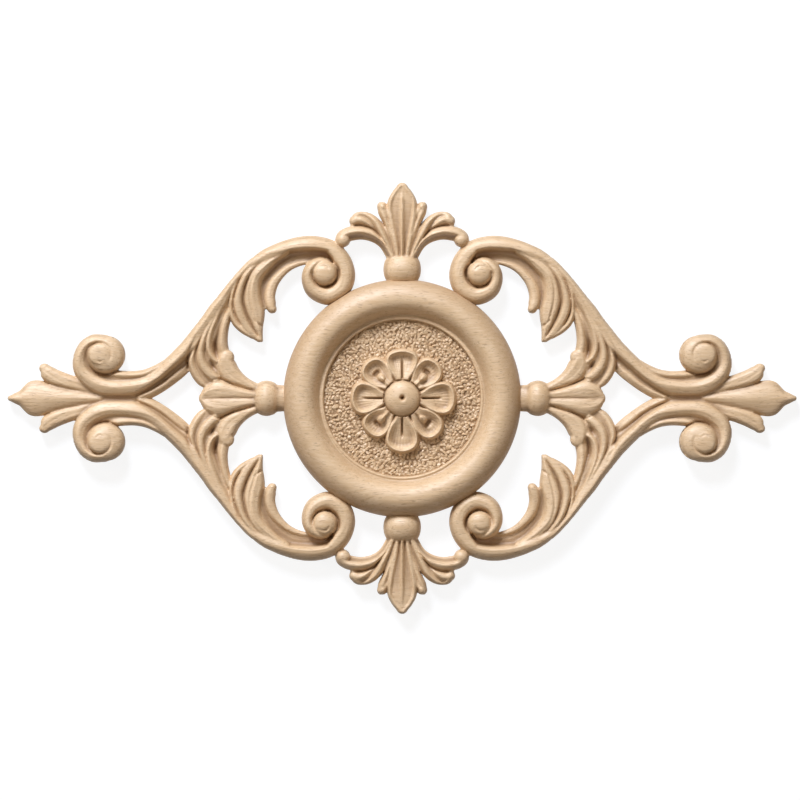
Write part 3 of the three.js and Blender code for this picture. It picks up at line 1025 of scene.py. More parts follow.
@dataclass(frozen=True)
class BigLeaf(Carving):
    """The large acanthus leaf under the top scroll."""

    crest: float = 10.5

    def strips(self) -> list[Strip]:
        """The inner lobe, the body of the blade and its three folds.

        Returns:
            The strips of one quarter.
        """
        lobe = [
            (46.5, 69.4, 0.8, 1.1, -4.6), (52, 68.4, 1.1, 1.4, -4.3), (57.2, 66.4, 1.3, 1.8, -4),
            (61.6, 63, 1.7, 2.2, -3.7), (65.6, 58.2, 2.1, 2.9, -3.3), (67.4, 52.4, 2.4, 3.1, -2.9),
            (67, 47.6, 2.5, 3.1, -2.4), (66, 45.2, 2.2, 2.4, -2.4),
        ]
        body = [
            (62, 72, 1.5, -2.4), (68.5, 69, 3.2, -2.2), (75, 63, 4.8, -2), (78, 57, 6, -2),
            (79, 50, 7, -2.2), (78.4, 44.5, 7.6, 7.4, -2.6), (77.2, 39, 5.8, -3), (75, 34.5, 3.4, -3.5),
            (72.8, 31, 1.4, -4),
        ]
        inner = [
            (58, 74, 1.2, -1.6), (63, 71.6, 2, -1.1), (67.8, 68.2, 2.8, -0.7), (73.4, 62.6, 3.5, -0.3),
            (75.5, 57, 4, -0.3), (75.9, 50, 4.8, -0.7), (74.5, 44, 4.8, 4.9, -1.3),
            (73.7, 40, 3.4, 4, -1.8), (72.9, 36, 2.6, 2.5, -2.3), (72, 32, 1.4, -3),
            (71.3, 29.2, 0.8, -3.6),
        ]
        middle = [
            (71.6, 69.4, 0.7, -2.4), (75, 66.6, 1.3, -1), (78.6, 62.6, 1.8, -0.1), (81.4, 57, 2.1, 0),
            (83.1, 50, 2.6, -0.3), (82.4, 44, 3.1, -0.8), (79.9, 38.4, 2.9, -1.6), (76.2, 33.2, 2.2, -2.6),
            (72.6, 29.6, 1.2, -3.4),
        ]
        outer = [
            (80.8, 63.4, 0.6, -2.4), (83.4, 59, 0.9, -1.3), (85.4, 54, 1, -0.9), (86.4, 48, 1.2, -1.1),
            (86.1, 42.6, 1.5, -1.5), (84.2, 38, 1.7, 1.8, -2), (80.6, 34.4, 1.6, -2.7),
            (76, 31.2, 1.1, -3.5),
        ]
        return [
            self.strip(lobe, right=Fall.FULL), self.fill(body),
            self.strip(inner, left=Fall.FULL, flutes=3, flute_depth=0.4),
            self.strip(middle, flutes=2, flute_depth=0.35), self.strip(outer),
        ]

    def grooves(self) -> list[Groove]:
        """The deep line between the folds, and the cut at the notch.

        Returns:
            The cut lines of one quarter.
        """
        return [
            Groove([(74.4, 65.6, 0.35, 0.2), (78.6, 58.5, 0.45, 1.1), (80.4, 50, 0.5, 1.5),
                    (79.4, 44.6, 0.55, 1.8), (77, 38.4, 0.55, 1.6), (72.8, 31.6, 0.4, 0.8)]),
            Groove([(82, 61, 0.35, 0.2), (84.4, 54, 0.4, 0.9), (85.6, 48, 0.4, 1.1), (84.6, 42.4, 0.45, 1.2),
                    (81.8, 37.2, 0.4, 0.8)]),
            Groove([(70.6, 36.4, 0.4, 1.4), (72.4, 37.4, 0.4, 1.3), (74.8, 39.6, 0.35, 0.3)]),
            Groove([(75, 62, 0.35, 0.2), (76.8, 55, 0.4, 0.6), (76.2, 47, 0.45, 0.9), (74, 39, 0.4, 0.7)]),
        ]


@dataclass(frozen=True)
class SmallLeaf(Carving):
    """The small acanthus leaf between the stem and the side palmette."""

    crest: float = 10.3

    def strips(self) -> list[Strip]:
        """The inner lobe, the body of the blade and its three folds.

        Returns:
            The strips of one quarter.
        """
        lobe = [
            (84.6, 51, 0.8, -2.6), (86.6, 46, 1.4, 1.3, -2.2), (89, 40.2, 1.8, 2.2, -1.9),
            (90.8, 34.5, 1.9, 2.8, -1.7), (91.4, 29, 1.8, 3, -1.9), (91, 24.5, 1.7, 3.2, -2.4),
            (90, 21, 1.4, 3, -3.2),
        ]
        body = [
            (88, 50, 1.5, -3), (92.5, 43, 3, -2.8), (96, 36, 4.6, 5.2, -2.6), (99.3, 28.5, 6, 7.7, -2.7),
            (100.6, 22, 6.4, 8.6, -2.9), (99.4, 14.5, 6.2, 8.2, -3.2), (97, 9.5, 4.4, 5.6, -3.6),
            (93, 6, 2.6, 3.4, -4),
        ]
        inner = [
            (88.5, 53, 0.8, -1.4), (91.6, 46, 1.2, -1), (94.2, 40, 1.5, -0.6), (96.4, 34.6, 1.7, -0.4),
            (97.8, 29.6, 1.8, -0.5), (97.9, 25, 1.9, -0.9), (96.3, 20.8, 1.8, -1.4), (94, 18.6, 1.3, -2),
        ]
        middle = [
            (94.5, 42.5, 0.8, -0.6), (97, 37.5, 1.3, -0.2), (99.3, 33, 1.6, 0), (101.1, 27.8, 2, 0.2),
            (102, 22.8, 2.4, 0), (101.3, 18, 2.7, -0.3), (98.6, 13.6, 2.9, -0.8), (94.5, 10, 2.6, -1.6),
        ]
        outer = [
            (101, 34, 0.7, -0.4), (103.2, 29.5, 1.1, -0.2), (105.1, 25.4, 1.4, -0.3),
            (106.5, 21, 1.7, -0.6), (106.3, 16.6, 2, -1.1), (104.4, 12, 2.2, -1.8), (101.8, 8.4, 2, -2.6),
            (99.9, 6.6, 1.4, -3.3),
        ]
        return [
            self.strip(lobe), self.fill(body), self.strip(inner),
            self.strip(middle, flutes=2, flute_depth=0.3), self.strip(outer, flutes=2, flute_depth=0.2),
        ]

    def grooves(self) -> list[Groove]:
        """The deep pocket beside the inner lobe, the small one below it, and the line before the stem.

        Returns:
            The cut lines of one quarter.
        """
        return [
            Groove([(91.5, 38, 0.5, 0.5), (93.4, 31.6, 0.8, 1.6), (94.5, 27.4, 1.1, 3), (94.3, 23.6, 1.1, 3.2),
                    (93.6, 20.8, 0.8, 1.4)]),
            Groove([(97, 18.4, 0.7, 1), (95.9, 16.4, 0.9, 2.2), (94.4, 14.4, 0.7, 0.8)]),
            Groove([(103.4, 33, 0.35, 0.3), (107, 25.5, 0.4, 0.9), (108.5, 20, 0.5, 1.4),
                    (108.2, 15, 0.5, 1.2)]),
        ]


@dataclass(frozen=True)
class SidePalmette(Carving):
    """The palmette on each side of the round frame, half of it above the middle line."""

    crest: float = 9.6

    def strips(self) -> list[Strip]:
        """The collar, the body of the leaf, its upper half and the curled lobe.

        Returns:
            The strips of one quarter.
        """
        collar = [
            (57.5, 0, 6.4, -1.4), (61.5, 0, 6.7, -0.8), (63.4, 0, 6.9, -0.2), (65.2, 0, 8.2, 1.6),
            (68.6, 0, 9, 2.8), (71.8, 0, 8.3, 1.8), (74.2, 0, 6.6, -0.6), (75, 0, 5.6, -2.6),
        ]
        body = [
            (73, 0, 3.6, -1.6), (80, 0, 4.4, -1.1), (87, 0, 6.4, -0.9), (92.5, 0, 7.6, -0.9),
            (96.4, 0, 6.6, -1.3), (99.6, 0, 3.3, -2),
        ]
        half = [
            (74, 2.2, 1.6, 3.6, -0.9), (80, 2.8, 2.5, 4.2, -0.4), (87, 3.9, 3.8, 5.4, 0),
            (92.5, 4.7, 4.8, 6.2, 0), (96.4, 4.2, 3.9, 5.6, -0.4), (99.2, 2.8, 2.5, 4.2, -1),
            (101, 1.2, 1.4, 2.6, -1.6),
        ]
        lobe = [
            (72.5, 4.4, 2.4, 1.6, -1.5), (79.5, 7.7, 2.9, 2.7, -1.1), (85.4, 11.7, 4.2, 5.6, -0.8),
            (88.7, 16.2, 4.8, 5.6, -0.5), (89.7, 19.6, 4, 4.2, -0.6), (89.6, 21.6, 2.8, -1),
        ]
        return [
            self.strip(collar, tool_marks=0.04), self.fill(body),
            self.strip(half, right=Fall.FULL, flutes=3, flute_depth=0.22),
            self.strip(lobe, flutes=2, flute_depth=0.2),
        ]

    def domes(self) -> list[Dome]:
        """The rolled tip of the lobe."""
        return [Dome(88.9, 20.8, 3.8, 6.2, self.crest - 1.2)]

    def grooves(self) -> list[Groove]:
        """The lines between the folds and the scoop of the lobe.

        Returns:
            The cut lines of one quarter.
        """
        return [
            Groove([(75, 0, 0.35, 0.4), (88, 0, 0.35, 0.6), (99, 0, 0.35, 0.3)]),
            Groove([(76, 4, 0.35, 0.5), (83, 5.8, 0.4, 1.1), (88, 8, 0.45, 1.6), (92.4, 9.9, 0.45, 1.6),
                    (95.6, 9.4, 0.4, 0.8)]),
            Groove([(80, 2.4, 0.35, 0.2), (88, 3.8, 0.4, 0.35), (95, 3.9, 0.35, 0.2)]),
            Groove([(79, 7.6, 0.9, 0.1), (85.2, 11, 1.9, 0.4), (89, 15.2, 2.2, 0.6), (90, 18.2, 1.5, 0.4)]),
        ]


@dataclass(frozen=True)
class TopPalmette(Carving):
    """The palmette above and below the round frame, half of it right of the middle line."""

    crest: float = 9.8

    def strips(self) -> list[Strip]:
        """The collar, the pointed leaf with its rib and edge, and the three lobes.

        Returns:
            The strips of one quarter.
        """
        collar = [
            (0, 57.5, 7.2, -1.6), (0, 60, 8.2, 0.6), (0, 62.4, 9.2, 2), (0, 65.6, 9.5, 2.5),
            (0, 69, 8.9, 1.6), (0, 71.4, 7.6, -0.2), (0, 72.4, 6.6, -2.4),
        ]
        ground = [
            (0, 72, 3, -2.8), (0, 85, 4.6, -2.2), (0, 95, 6.2, -1.8), (0, 101, 5.8, -1.7),
            (0, 106, 3, -1.8),
        ]
        rib = [
            (0, 71, 1.1, -0.2), (0, 80, 1.3, 0.2), (0, 90, 1.5, 0.3), (0, 99, 1.5, -0.4), (0, 104, 1, -1.4),
        ]
        edge = [
            (2, 71.5, 0.9, -0.8), (3.3, 80, 1.2, -0.5), (5, 88, 1.5, -0.4), (6.1, 95, 1.6, 1.5, -0.5),
            (5.8, 99.6, 1.5, -0.7), (3.6, 104, 1.4, -1), (0.5, 107.8, 1.3, -1.3),
        ]
        small_lobe = [
            (2.8, 72, 1.1, -0.8), (4.6, 81, 1.6, 1.7, -0.4), (6.8, 89, 2.2, 2.6, -0.2),
            (8.9, 94.3, 2.7, 3.2, -0.4), (10, 97, 2.4, 2.7, -0.9),
        ]
        middle_lobe = [
            (4.8, 72, 1.3, -0.8), (8.2, 79.6, 2, 2.1, -0.3), (12.2, 86.6, 3, 3.4, 0),
            (17, 90.2, 3.5, 3.9, -0.1), (21.6, 91.1, 3.3, 3.9, -0.5), (24.2, 89.8, 2.6, 2.8, -1),
        ]
        low_lobe = [
            (6, 71.5, 1.7, 1.9, -1, 0.3), (9.4, 78, 2.2, 2.4, -0.5, 0), (14, 82.3, 2.6, 3.4, -0.1, -0.4),
            (20, 84.4, 2.8, 4, 0.2, -0.8), (26, 84, 3, 4.2, 0.1, -0.7), (30, 81.8, 3.2, 3.6, -0.3, -0.2),
            (31, 79.2, 3, 3, -0.9, 0),
        ]
        under = [
            (4, 73, 2.6, -2.4), (8.5, 81, 3.4, -2.2), (14, 86.4, 4, -2.2), (20, 88, 3.2, -2.4),
            (24, 87.4, 2.2, -2.6),
        ]
        return [
            self.strip(collar, tool_marks=0.04), self.fill(ground),
            self.fill(under), self.strip(rib), self.strip(edge), self.strip(small_lobe),
            self.strip(middle_lobe), self.strip(low_lobe, right=Fall.COVE),
        ]

    def domes(self) -> list[Dome]:
        """The rolled tip of the low lobe."""
        return [Dome(29.9, 80.2, 3.6, 6, self.crest + 0.2)]

    def grooves(self) -> list[Groove]:
        """The lines between the lobes and the scoops in them.

        Returns:
            The cut lines of one quarter.
        """
        return [
            Groove([(3.4, 73, 0.35, 0.5), (5.9, 84, 0.4, 0.8), (7.6, 92.4, 0.45, 1), (8, 98, 0.4, 1)]),
            Groove([(4.4, 73, 0.35, 0.5), (7.2, 81, 0.4, 0.9), (10.4, 88.2, 0.45, 1.1),
                    (12.4, 92.6, 0.45, 1.2)]),
            Groove([(5.6, 73, 0.35, 0.5), (9, 79, 0.4, 0.9), (14, 84.8, 0.45, 1.2), (19, 87.2, 0.45, 1.3),
                    (23.6, 87.6, 0.45, 1.2)]),
            Groove([(11, 81.2, 0.6, 0.8), (12.9, 84.5, 0.9, 1.8), (14.9, 87.9, 1.1, 2.4), (17.7, 91, 1.2, 2.6),
                    (20.5, 92.4, 1.1, 2.2), (22.8, 91.6, 0.8, 0.6)]),
            Groove([(4.8, 83, 0.45, 0.4), (7.2, 90.2, 0.6, 1.3), (9.4, 95.4, 0.7, 1.1)]),
        ]


@dataclass(frozen=True)
class EndPalmette(Carving):
    """The palmette at each end, past the two end scrolls, half of it above the middle line."""

    crest: float = 8.8

    def strips(self) -> list[Strip]:
        """The pointed leaf, which has a keel, and the outer leaf.

        Returns:
            The strips of one quarter.
        """
        leaf = [
            (153, 0, 3, -1), (160, 0, 4, -0.4), (168, 0, 5.6, 0), (178, 0, 7.9, 0.4), (184.6, 0, 9.1, 0.2),
            (188.6, 0, 8.4, 0), (191.2, 0, 6.3, -0.3), (193.4, 0, 3.9, -0.6), (196.2, 0, 2.5, -1),
            (198.2, 0, 1.4, -1.8),
        ]
        outer = [
            (157, 3.6, 2, -1.6), (163.6, 6.6, 3.5, 3, -0.8), (169.6, 8.4, 3.8, 3.6, -0.4),
            (175, 10.6, 3.7, 4.6, -0.3), (179, 13.2, 3.2, 4.5, -0.5), (181, 15.2, 2.4, 2.6, -1),
        ]
        return [
            self.strip(leaf, left=Fall.KEEL, right=Fall.KEEL, edge=5.2, tool_marks=0.14),
            self.strip(outer, right=Fall.FULL, edge=5, flutes=2, flute_depth=0.3),
        ]

    def grooves(self) -> list[Groove]:
        """The line between the pointed leaf and the outer leaf.

        Returns:
            The cut lines of one quarter.
        """
        return [
            Groove([(159.5, 2.2, 0.4, 0.6), (168.4, 4, 0.45, 1.2), (176.3, 6.6, 0.5, 1.6),
                    (181.4, 8.6, 0.5, 1.2)]),
        ]


@dataclass
class CarvedWork:
    """All the open carving around the round frame, as one closed piece."""

    step: float = 0.5
    margin: float = 3.0
    tuck: float = 0.7
    most_triangles: int = 185_000
    softening: float = 0.55
    outline_softening: float = 0.5
    outline_reach: float = 3.0
    # Painted shade in the hollows: size of the surroundings, depth that counts as full shade, and how it fades
    # in from the outline.
    shade_reach: float = 2.6
    shade_depth: float = 2.6
    shade_inset: float = 0.4
    shade_fade: float = 1.6
    back_depth: float = 0.001
    sharp_angle: float = 62.0

    def build(self, drawn: Drawn, finish: bpy.types.Material) -> bpy.types.Object:
        """Carves a quarter, mirrors it and closes it.

        Args:
            drawn: The scales into the frame.
            finish: The piece's material.

        Returns:
            The finished piece.
        """
        relief = Relief(self.step, (DRAWN_HALF_LENGTH + self.margin, DRAWN_HALF_HEIGHT + self.margin))
        parts = [Stem(), TopScroll(), BigLeaf(), SmallLeaf(), SidePalmette(), TopPalmette(), EndPalmette()]
        for part in parts:
            for strip in part.strips():
                relief.add(strip)
        for part in parts:
            for dome in part.domes():
                relief.raise_dome(dome)
        for part in parts:
            for groove in part.grooves():
                relief.cut(groove)
        height, inside = relief.whole(relief.height), relief.whole(relief.inside)
        xs, zs = relief.axes()
        grid_x, grid_z = np.meshgrid(xs, zs)
        solid = inside > 0
        height = np.where(solid, blur_within(height, solid, self.softening), height)
        from_frame = np.hypot(grid_x, grid_z) - (RING_RADIUS - self.tuck)
        near_edge = np.clip(inside, -self.outline_reach, self.outline_reach)
        outline = np.minimum(blur(near_edge, self.outline_softening), from_frame)
        # Painted shade: darker where the relief lies below its surroundings, fading out towards the outline.
        painted_shade = hollow_of(height, solid, self.shade_reach / self.step, self.shade_depth)
        painted_shade = painted_shade * np.clip((outline - self.shade_inset) / self.shade_fade, 0, 1)
        made = ReliefMesh(xs, zs, height, outline).build("carved_work", drawn)
        thinned(made, self.most_triangles)
        places = corner_places(made)
        share = sample(painted_shade, xs, zs, places[:, 0] / drawn.along, places[:, 2] / drawn.up)
        dress(made, finish, share * (places[:, 1] < -self.back_depth), self.sharp_angle)
        return made


@dataclass
class RoundFrame:
    """The round frame: a rolled rim, a small bead inside it and the sunk field, turned as one."""

    outer_side: Rows = (
        (50.9, 16), (52.2, 15.84), (53.5, 15.4), (54.8, 14.72), (56.1, 13.8), (57.4, 12.6), (58.5, 11.2),
        (59.4, 9.5), (60, 7.6), (60.2, 5.4))
    inner_side: Rows = (
        (50.9, 16), (49.5, 15.92), (48, 15.55), (46.7, 14.85), (45.4, 13.8), (44.3, 12.5), (43.4, 11.2),
        (42.6, 10), (41.8, 9))
    bead: Rows = (
        (41.8, 9), (41.3, 8.95), (40.9, 9.2), (40.4, 9.35), (40, 9.1), (39.7, 8.4), (39.5, 7.4), (39.2, 6.7))
    segments: int = 288
    per_span: int = 2
    chamfer: float = 0.7
    # Painted shade: its reach down the sides and its shares on them, at the outer foot, in the cove and at the
    # bead's foot, on the field and at the middle.
    side_reach: float = 9.3
    side_shade: float = 0.25
    cove_shade: float = 0.2
    cove_power: int = 5
    bead_foot: float = 8.1
    field_inset: float = 1.4
    field_sink: float = 0.3
    field_shade: float = 0.6
    middle_shade: float = 0.4
    sharp_angle: float = 60.0

    def profile(self) -> list[tuple[float, float, float]]:
        """Radius, height and share of painted shade, from the back's edge over the rim to the middle.

        Returns:
            One row for each corner of the profile.
        """
        outer = smooth_line(self.outer_side, self.per_span)[::-1]
        inner = smooth_line(self.inner_side, self.per_span)[1:]
        bead = smooth_line(self.bead, self.per_span)[1:]
        crest, floor = outer[-1, 0], FIELD_HEIGHT - self.field_sink
        return [
            (0.0, 0.0, 0.0), (RING_RADIUS - self.chamfer, 0.0, 0.0),
            (RING_RADIUS, self.chamfer, self.cove_shade),
            *((r, h, self.side_shade * (r - crest) / self.side_reach) for r, h in outer),
            *((r, h, self.cove_shade * ((crest - r) / self.side_reach) ** self.cove_power) for r, h in inner),
            *((r, h, self.cove_shade * (1 - min(1.0, max(0.0, h - self.bead_foot)))) for r, h in bead),
            (FIELD_RADIUS - self.field_inset, floor, self.field_shade), (0.0, floor, self.field_shade)]

    def build(self, drawn: Drawn, finish: bpy.types.Material) -> bpy.types.Object:
        """Turns the profile into a closed piece.

        Args:
            drawn: The scales into the frame.
            finish: The piece's material.

        Returns:
            The finished piece.
        """
        profile = np.array(self.profile())
        angles = np.linspace(0, 2 * math.pi, self.segments, endpoint=False)[None]
        radius, height, share = (np.repeat(column[1:-1, None], self.segments, 1) for column in profile.T)
        x, z = radius * np.cos(angles), radius * np.sin(angles)
        on_axis = profile[[0, -1], 1]
        places = np.concatenate([
            drawn.points(x.ravel(), height.ravel(), z.ravel()),
            drawn.points(np.zeros(2), on_axis, np.zeros(2))])
        number = np.arange(radius.size).reshape(radius.shape)
        after = np.roll(number, -1, axis=1)
        a, b, c, d = number[:-1].ravel(), after[:-1].ravel(), after[1:].ravel(), number[1:].ravel()
        back, front = len(places) - 2, len(places) - 1
        first, last = number[0], number[-1]
        faces = np.concatenate([
            np.stack([a, b, c], 1), np.stack([a, c, d], 1),
            np.stack([first, np.full_like(first, back), np.roll(first, -1)], 1),
            np.stack([np.roll(last, -1), np.full_like(last, front), last], 1)])
        made = mesh_object("round_frame", places, faces)
        dress(made, finish, np.concatenate([share.ravel(), [0, self.middle_shade]]), self.sharp_angle)
        return made


@dataclass
class Rosette:
    """The eight-petalled rosette with its button, on the sunk field."""

    step: float = 0.25
    reach: float = 28.0
    button_radius: float = 9.5
    button_crest: float = 15.2
    button_foot: float = 8.6
    # Painted shade: the dark ring painted at the button's foot.
    foot_shade: float = 0.22
    dimple: float = 3.2
    dimple_radius: float = 1.1
    base: float = FIELD_HEIGHT - 1.2
    back_drop: float = 0.6
    web_radius: float = 17.8
    web: Rows = ((8, 9.2), (12, 8.8), (17.4, 8))
    long_petal: Rows = (
        (6, 2.8), (10, 4.7), (13, 6.7), (17, 8.4), (21, 8.8), (24.2, 7.3), (26, 4.6), (26.9, 1.4))
    cross_petal: Rows = (
        (6, 2.8), (10, 4.6), (13, 6.4), (17, 7.6), (21, 7.5), (24, 6), (25.6, 3.8), (26.4, 1.2))
    reaches: tuple[float, ...] = (1.03, 0.98, 0.94, 1.0, 0.985, 0.96, 1.05, 1.01)
    long_rim: float = 11.6
    cross_rim: float = 11.1
    lip_width: float = 1.9
    scoop_start: float = 1.7
    scoop_width: float = 3.2
    vein_depth: float = 0.1
    vein_count: int = 84
    drop_place: float = 15.0
    drop_width: float = 1.8
    drop_height: float = 2.9
    pit_depth: float = 2.7
    softening: float = 0.7
    sharp_angle: float = 65.0

    def _petal(self, x: np.ndarray, z: np.ndarray, turn: int) -> tuple[np.ndarray, np.ndarray]:
        """Height and inside distance of one petal.

        Args:
            x: The grid's places along the length.
            z: The grid's places up.
            turn: Which petal it is. Those with an odd number lie on the diagonals and carry a drop.

        Returns:
            The heights, and the distances inside the outline.
        """
        cross = turn % 2 == 1
        stretch = (self.reaches[turn] - 1) / self.reach
        shape = self.cross_petal if cross else self.long_petal
        along, across = turned(x, z, turn)
        line = smooth_line([(a * (1 + stretch * a), w) for a, w in shape], 6)
        outline = np.concatenate([line, (line * np.array([1, -1]))[::-1]])
        near = nearest_on(np.vstack([outline, outline[:1]]), along.ravel(), across.ravel())
        half = np.interp(along, line[:, 0], line[:, 1], left=-1, right=-1)
        gap = np.where(np.abs(across) < half, 1, -1) * near.distance.reshape(x.shape)
        rim = self.cross_rim if cross else self.long_rim
        lip = np.sqrt(np.clip(1 - (1 - np.clip(gap / self.lip_width, 0, 1)) ** 2, 0, 1))
        scoop = np.sin(np.clip((gap - self.scoop_start) / self.scoop_width, 0, 1) * math.pi / 2)
        depth = np.interp(along, [8, 13, 19, 23, 26], [0.3, 1.4, 2.9, 3.1, 2.2])
        height = self.base + (rim - self.base) * lip - depth * scoop
        height = height - np.interp(gap, [0, 1.5], [0.8, 0])
        fan = np.arctan2(across, np.maximum(along - 2, 1))
        height = height + self.vein_depth * np.cos(fan * self.vein_count) * scoop
        height = height + np.interp(along, [6, 12, 18], [0.6, 0.2, 0])
        if cross:
            drop = np.clip(np.hypot((along - self.drop_place) / 1.25, across) / self.drop_width, 0, 1)
            stalk = np.exp(-((across / 0.9) ** 2)) * np.interp(along, [8, 13, 15], [1.8, 1.5, 0])
            height = height + stalk + self.drop_height * np.sqrt(1 - drop**2)
        return np.where(gap > -0.6, height, self.base), gap

    def _cuts(self, x: np.ndarray, z: np.ndarray) -> np.ndarray:
        """Depth of the slits in the straight petals and of the pits past the drops.

        Args:
            x: The grid's places along the length.
            z: The grid's places up.

        Returns:
            How deep each place is cut.
        """
        depth = np.zeros_like(x)
        for turn in range(PETALS):
            along, across = turned(x, z, turn)
            if turn % 2 == 0:
                slit = np.interp(along, [9, 10.4, 17, 20.6], [0, 2.6, 2.2, 0])
                depth += slit * np.exp(-((across / 0.42) ** 2))
            else:
                past = along - self.drop_place - 3
                depth += self.pit_depth * np.exp(-((past / 1.1) ** 2) - ((across - 0.4) / 1.9) ** 2)
        return depth

    def build(self, drawn: Drawn, finish: bpy.types.Material) -> bpy.types.Object:
        """Carves the rosette and closes it.

        Args:
            drawn: The scales into the frame.
            finish: The piece's material.

        Returns:
            The finished piece.
        """
        xs = np.arange(-self.reach, self.reach + self.step / 2, self.step)
        x, z = np.meshgrid(xs, xs)
        radius = np.hypot(x, z)
        height, inside = np.full_like(x, self.base), np.full_like(x, OUTSIDE)
        for turn in range(PETALS):
            petal, gap = self._petal(x, z, turn)
            height, inside = np.maximum(height, petal), np.maximum(inside, gap)
        web = np.array([*self.web, (self.web_radius + 0.2, self.base)])
        height = np.maximum(height, np.interp(radius, web[:, 0], web[:, 1])) - self._cuts(x, z)
        from_button = self.button_radius - radius
        round_top = np.sqrt(np.clip(1 - (radius / self.button_radius) ** 2, 0, 1))
        button = self.button_foot + (self.button_crest - self.button_foot) * round_top
        dimple = self.dimple * np.exp(-((np.hypot(x - 0.1, z - 0.2) / self.dimple_radius) ** 2))
        height = blur(np.where(from_button > 0, button - dimple, height), self.softening)
        inside = np.maximum(inside, np.maximum(self.web_radius - radius, from_button))
        # Painted shade: darker in the hollows, and a dark ring at the button's foot.
        painted_shade = hollow_of(height, inside > 0, 1.8 / self.step, 2.4)
        foot = np.exp(-np.clip(from_button + 0.2, -9, 9) ** 2 / 0.5)
        painted_shade = np.maximum(painted_shade, self.foot_shade * foot) * np.clip((inside - 0.2) / 1.2, 0, 1)
        back = self.base - self.back_drop
        made = ReliefMesh(xs, xs, height, blur(inside, 0.6), back).build("rosette", drawn)
        places = corner_places(made)
        share = sample(painted_shade, xs, xs, places[:, 0] / drawn.along, places[:, 2] / drawn.up)
        dress(made, finish, share, self.sharp_angle)
        return made


@dataclass
class StippledGround:
    """The tooled ground around the rosette: small uneven lumps, close together."""

    inner: float = 18.0
    under_petals: float = 5.5
    outer: float = FIELD_RADIUS - 0.6
    sides: int = 96
    spacing: float = 1.27
    density: float = 4e6
    lump: Size = (1.7, 1.05, 1.2)
    smallest: Size = (0.6, 0.5, 0.6)
    largest: Size = (1.3, 1.3, 1.3)
    tilt: float = 0.8
    sink: float = 0.5
    # Most shade painted on the low parts of the lumps.
    painted_shade_most: float = 0.2
    sharp_angle: float = 25.0
    seed: int = 7

    def _tree(self) -> bpy.types.GeometryNodeTree:
        """The node tree that strews lumps over a flat ring and turns each its own way.

        Returns:
            The node tree.
        """
        tree = bpy.data.node_groups.new("stipple", "GeometryNodeTree")
        for name, kind in (("Ground", "Geometry"), ("Spacing", "Float"), ("Lump", "Vector"), ("Seed", "Int"),
                           ("Finish", "Material")):
            tree.interface.new_socket(name, in_out="INPUT", socket_type=f"NodeSocket{kind}")
        tree.interface.new_socket("Lumps", in_out="OUTPUT", socket_type="NodeSocketGeometry")
        made = {name: tree.nodes.new(kind) for name, kind in (
            ("given", "NodeGroupInput"), ("out", "NodeGroupOutput"),
            ("strew", "GeometryNodeDistributePointsOnFaces"), ("ball", "GeometryNodeMeshIcoSphere"),
            ("place", "GeometryNodeInstanceOnPoints"), ("turn", "FunctionNodeRandomValue"),
            ("grow", "FunctionNodeRandomValue"), ("scale", "ShaderNodeVectorMath"),
            ("realize", "GeometryNodeRealizeInstances"), ("dress", "GeometryNodeSetMaterial"))}
        made["strew"].distribute_method = "POISSON"
        made["turn"].data_type = made["grow"].data_type = "FLOAT_VECTOR"
        made["scale"].operation = "MULTIPLY"
        most = (self.tilt, math.pi, self.tilt)
        for name, entry, value in (
                ("strew", "Density Max", self.density), ("ball", "Subdivisions", 1), ("ball", "Radius", 1.0),
                ("turn", 0, tuple(-angle for angle in most)), ("turn", 1, most),
                ("grow", 0, self.smallest), ("grow", 1, self.largest)):
            made[name].inputs[entry].default_value = value
        for source, output, target, entry in (
                ("given", "Ground", "strew", "Mesh"), ("given", "Spacing", "strew", "Distance Min"),
                ("given", "Seed", "strew", "Seed"), ("given", "Seed", "turn", "Seed"),
                ("given", "Seed", "grow", "Seed"), ("strew", "Points", "place", "Points"),
                ("ball", "Mesh", "place", "Instance"), ("turn", 0, "place", "Rotation"),
                ("grow", 0, "scale", 0), ("given", "Lump", "scale", 1), ("scale", 0, "place", "Scale"),
                ("place", "Instances", "realize", "Geometry"), ("realize", "Geometry", "dress", "Geometry"),
                ("given", "Finish", "dress", "Material"), ("dress", "Geometry", "out", "Lumps")):
            tree.links.new(made[source].outputs[output], made[target].inputs[entry])
        return tree

    def build(self, drawn: Drawn, finish: bpy.types.Material) -> bpy.types.Object:
        """Strews the lumps and makes them one plain mesh.

        Args:
            drawn: The scales into the frame.
            finish: The piece's material.

        Returns:
            The finished piece.
        """
        angles = np.linspace(0, 2 * math.pi, self.sides + 1)[:-1]
        inner = self.inner + self.under_petals * np.sqrt(np.abs(np.cos(PETALS / 2 * angles)))
        x, z = (np.concatenate([r * wave for r in (inner, self.outer)])
                for wave in (np.cos(angles), np.sin(angles)))
        places = drawn.points(x, np.full(len(x), FIELD_HEIGHT - self.sink), z)
        near = np.arange(self.sides)
        after = np.roll(near, -1)
        faces = np.stack([near, after, after + self.sides, near + self.sides], 1)
        made = mesh_object("stippled_ground", places, faces)
        modifier = made.modifiers.new("stipple", "NODES")
        modifier.node_group = self._tree()
        given = {"Spacing": self.spacing * drawn.along, "Lump": tuple(size * drawn.along for size in self.lump),
                 "Seed": self.seed, "Finish": finish}
        for item in modifier.node_group.interface.items_tree:
            if item.in_out == "INPUT" and item.name in given:
                modifier[item.identifier] = given[item.name]
        applied(made)
        height = -corner_places(made)[:, 1] / drawn.deep
        # Painted shade between the lumps: their lower parts are darker.
        share = np.clip((FIELD_HEIGHT + 0.3 - height) / 1.6, 0, self.painted_shade_most)
        dress(made, None, share, self.sharp_angle)
        return made


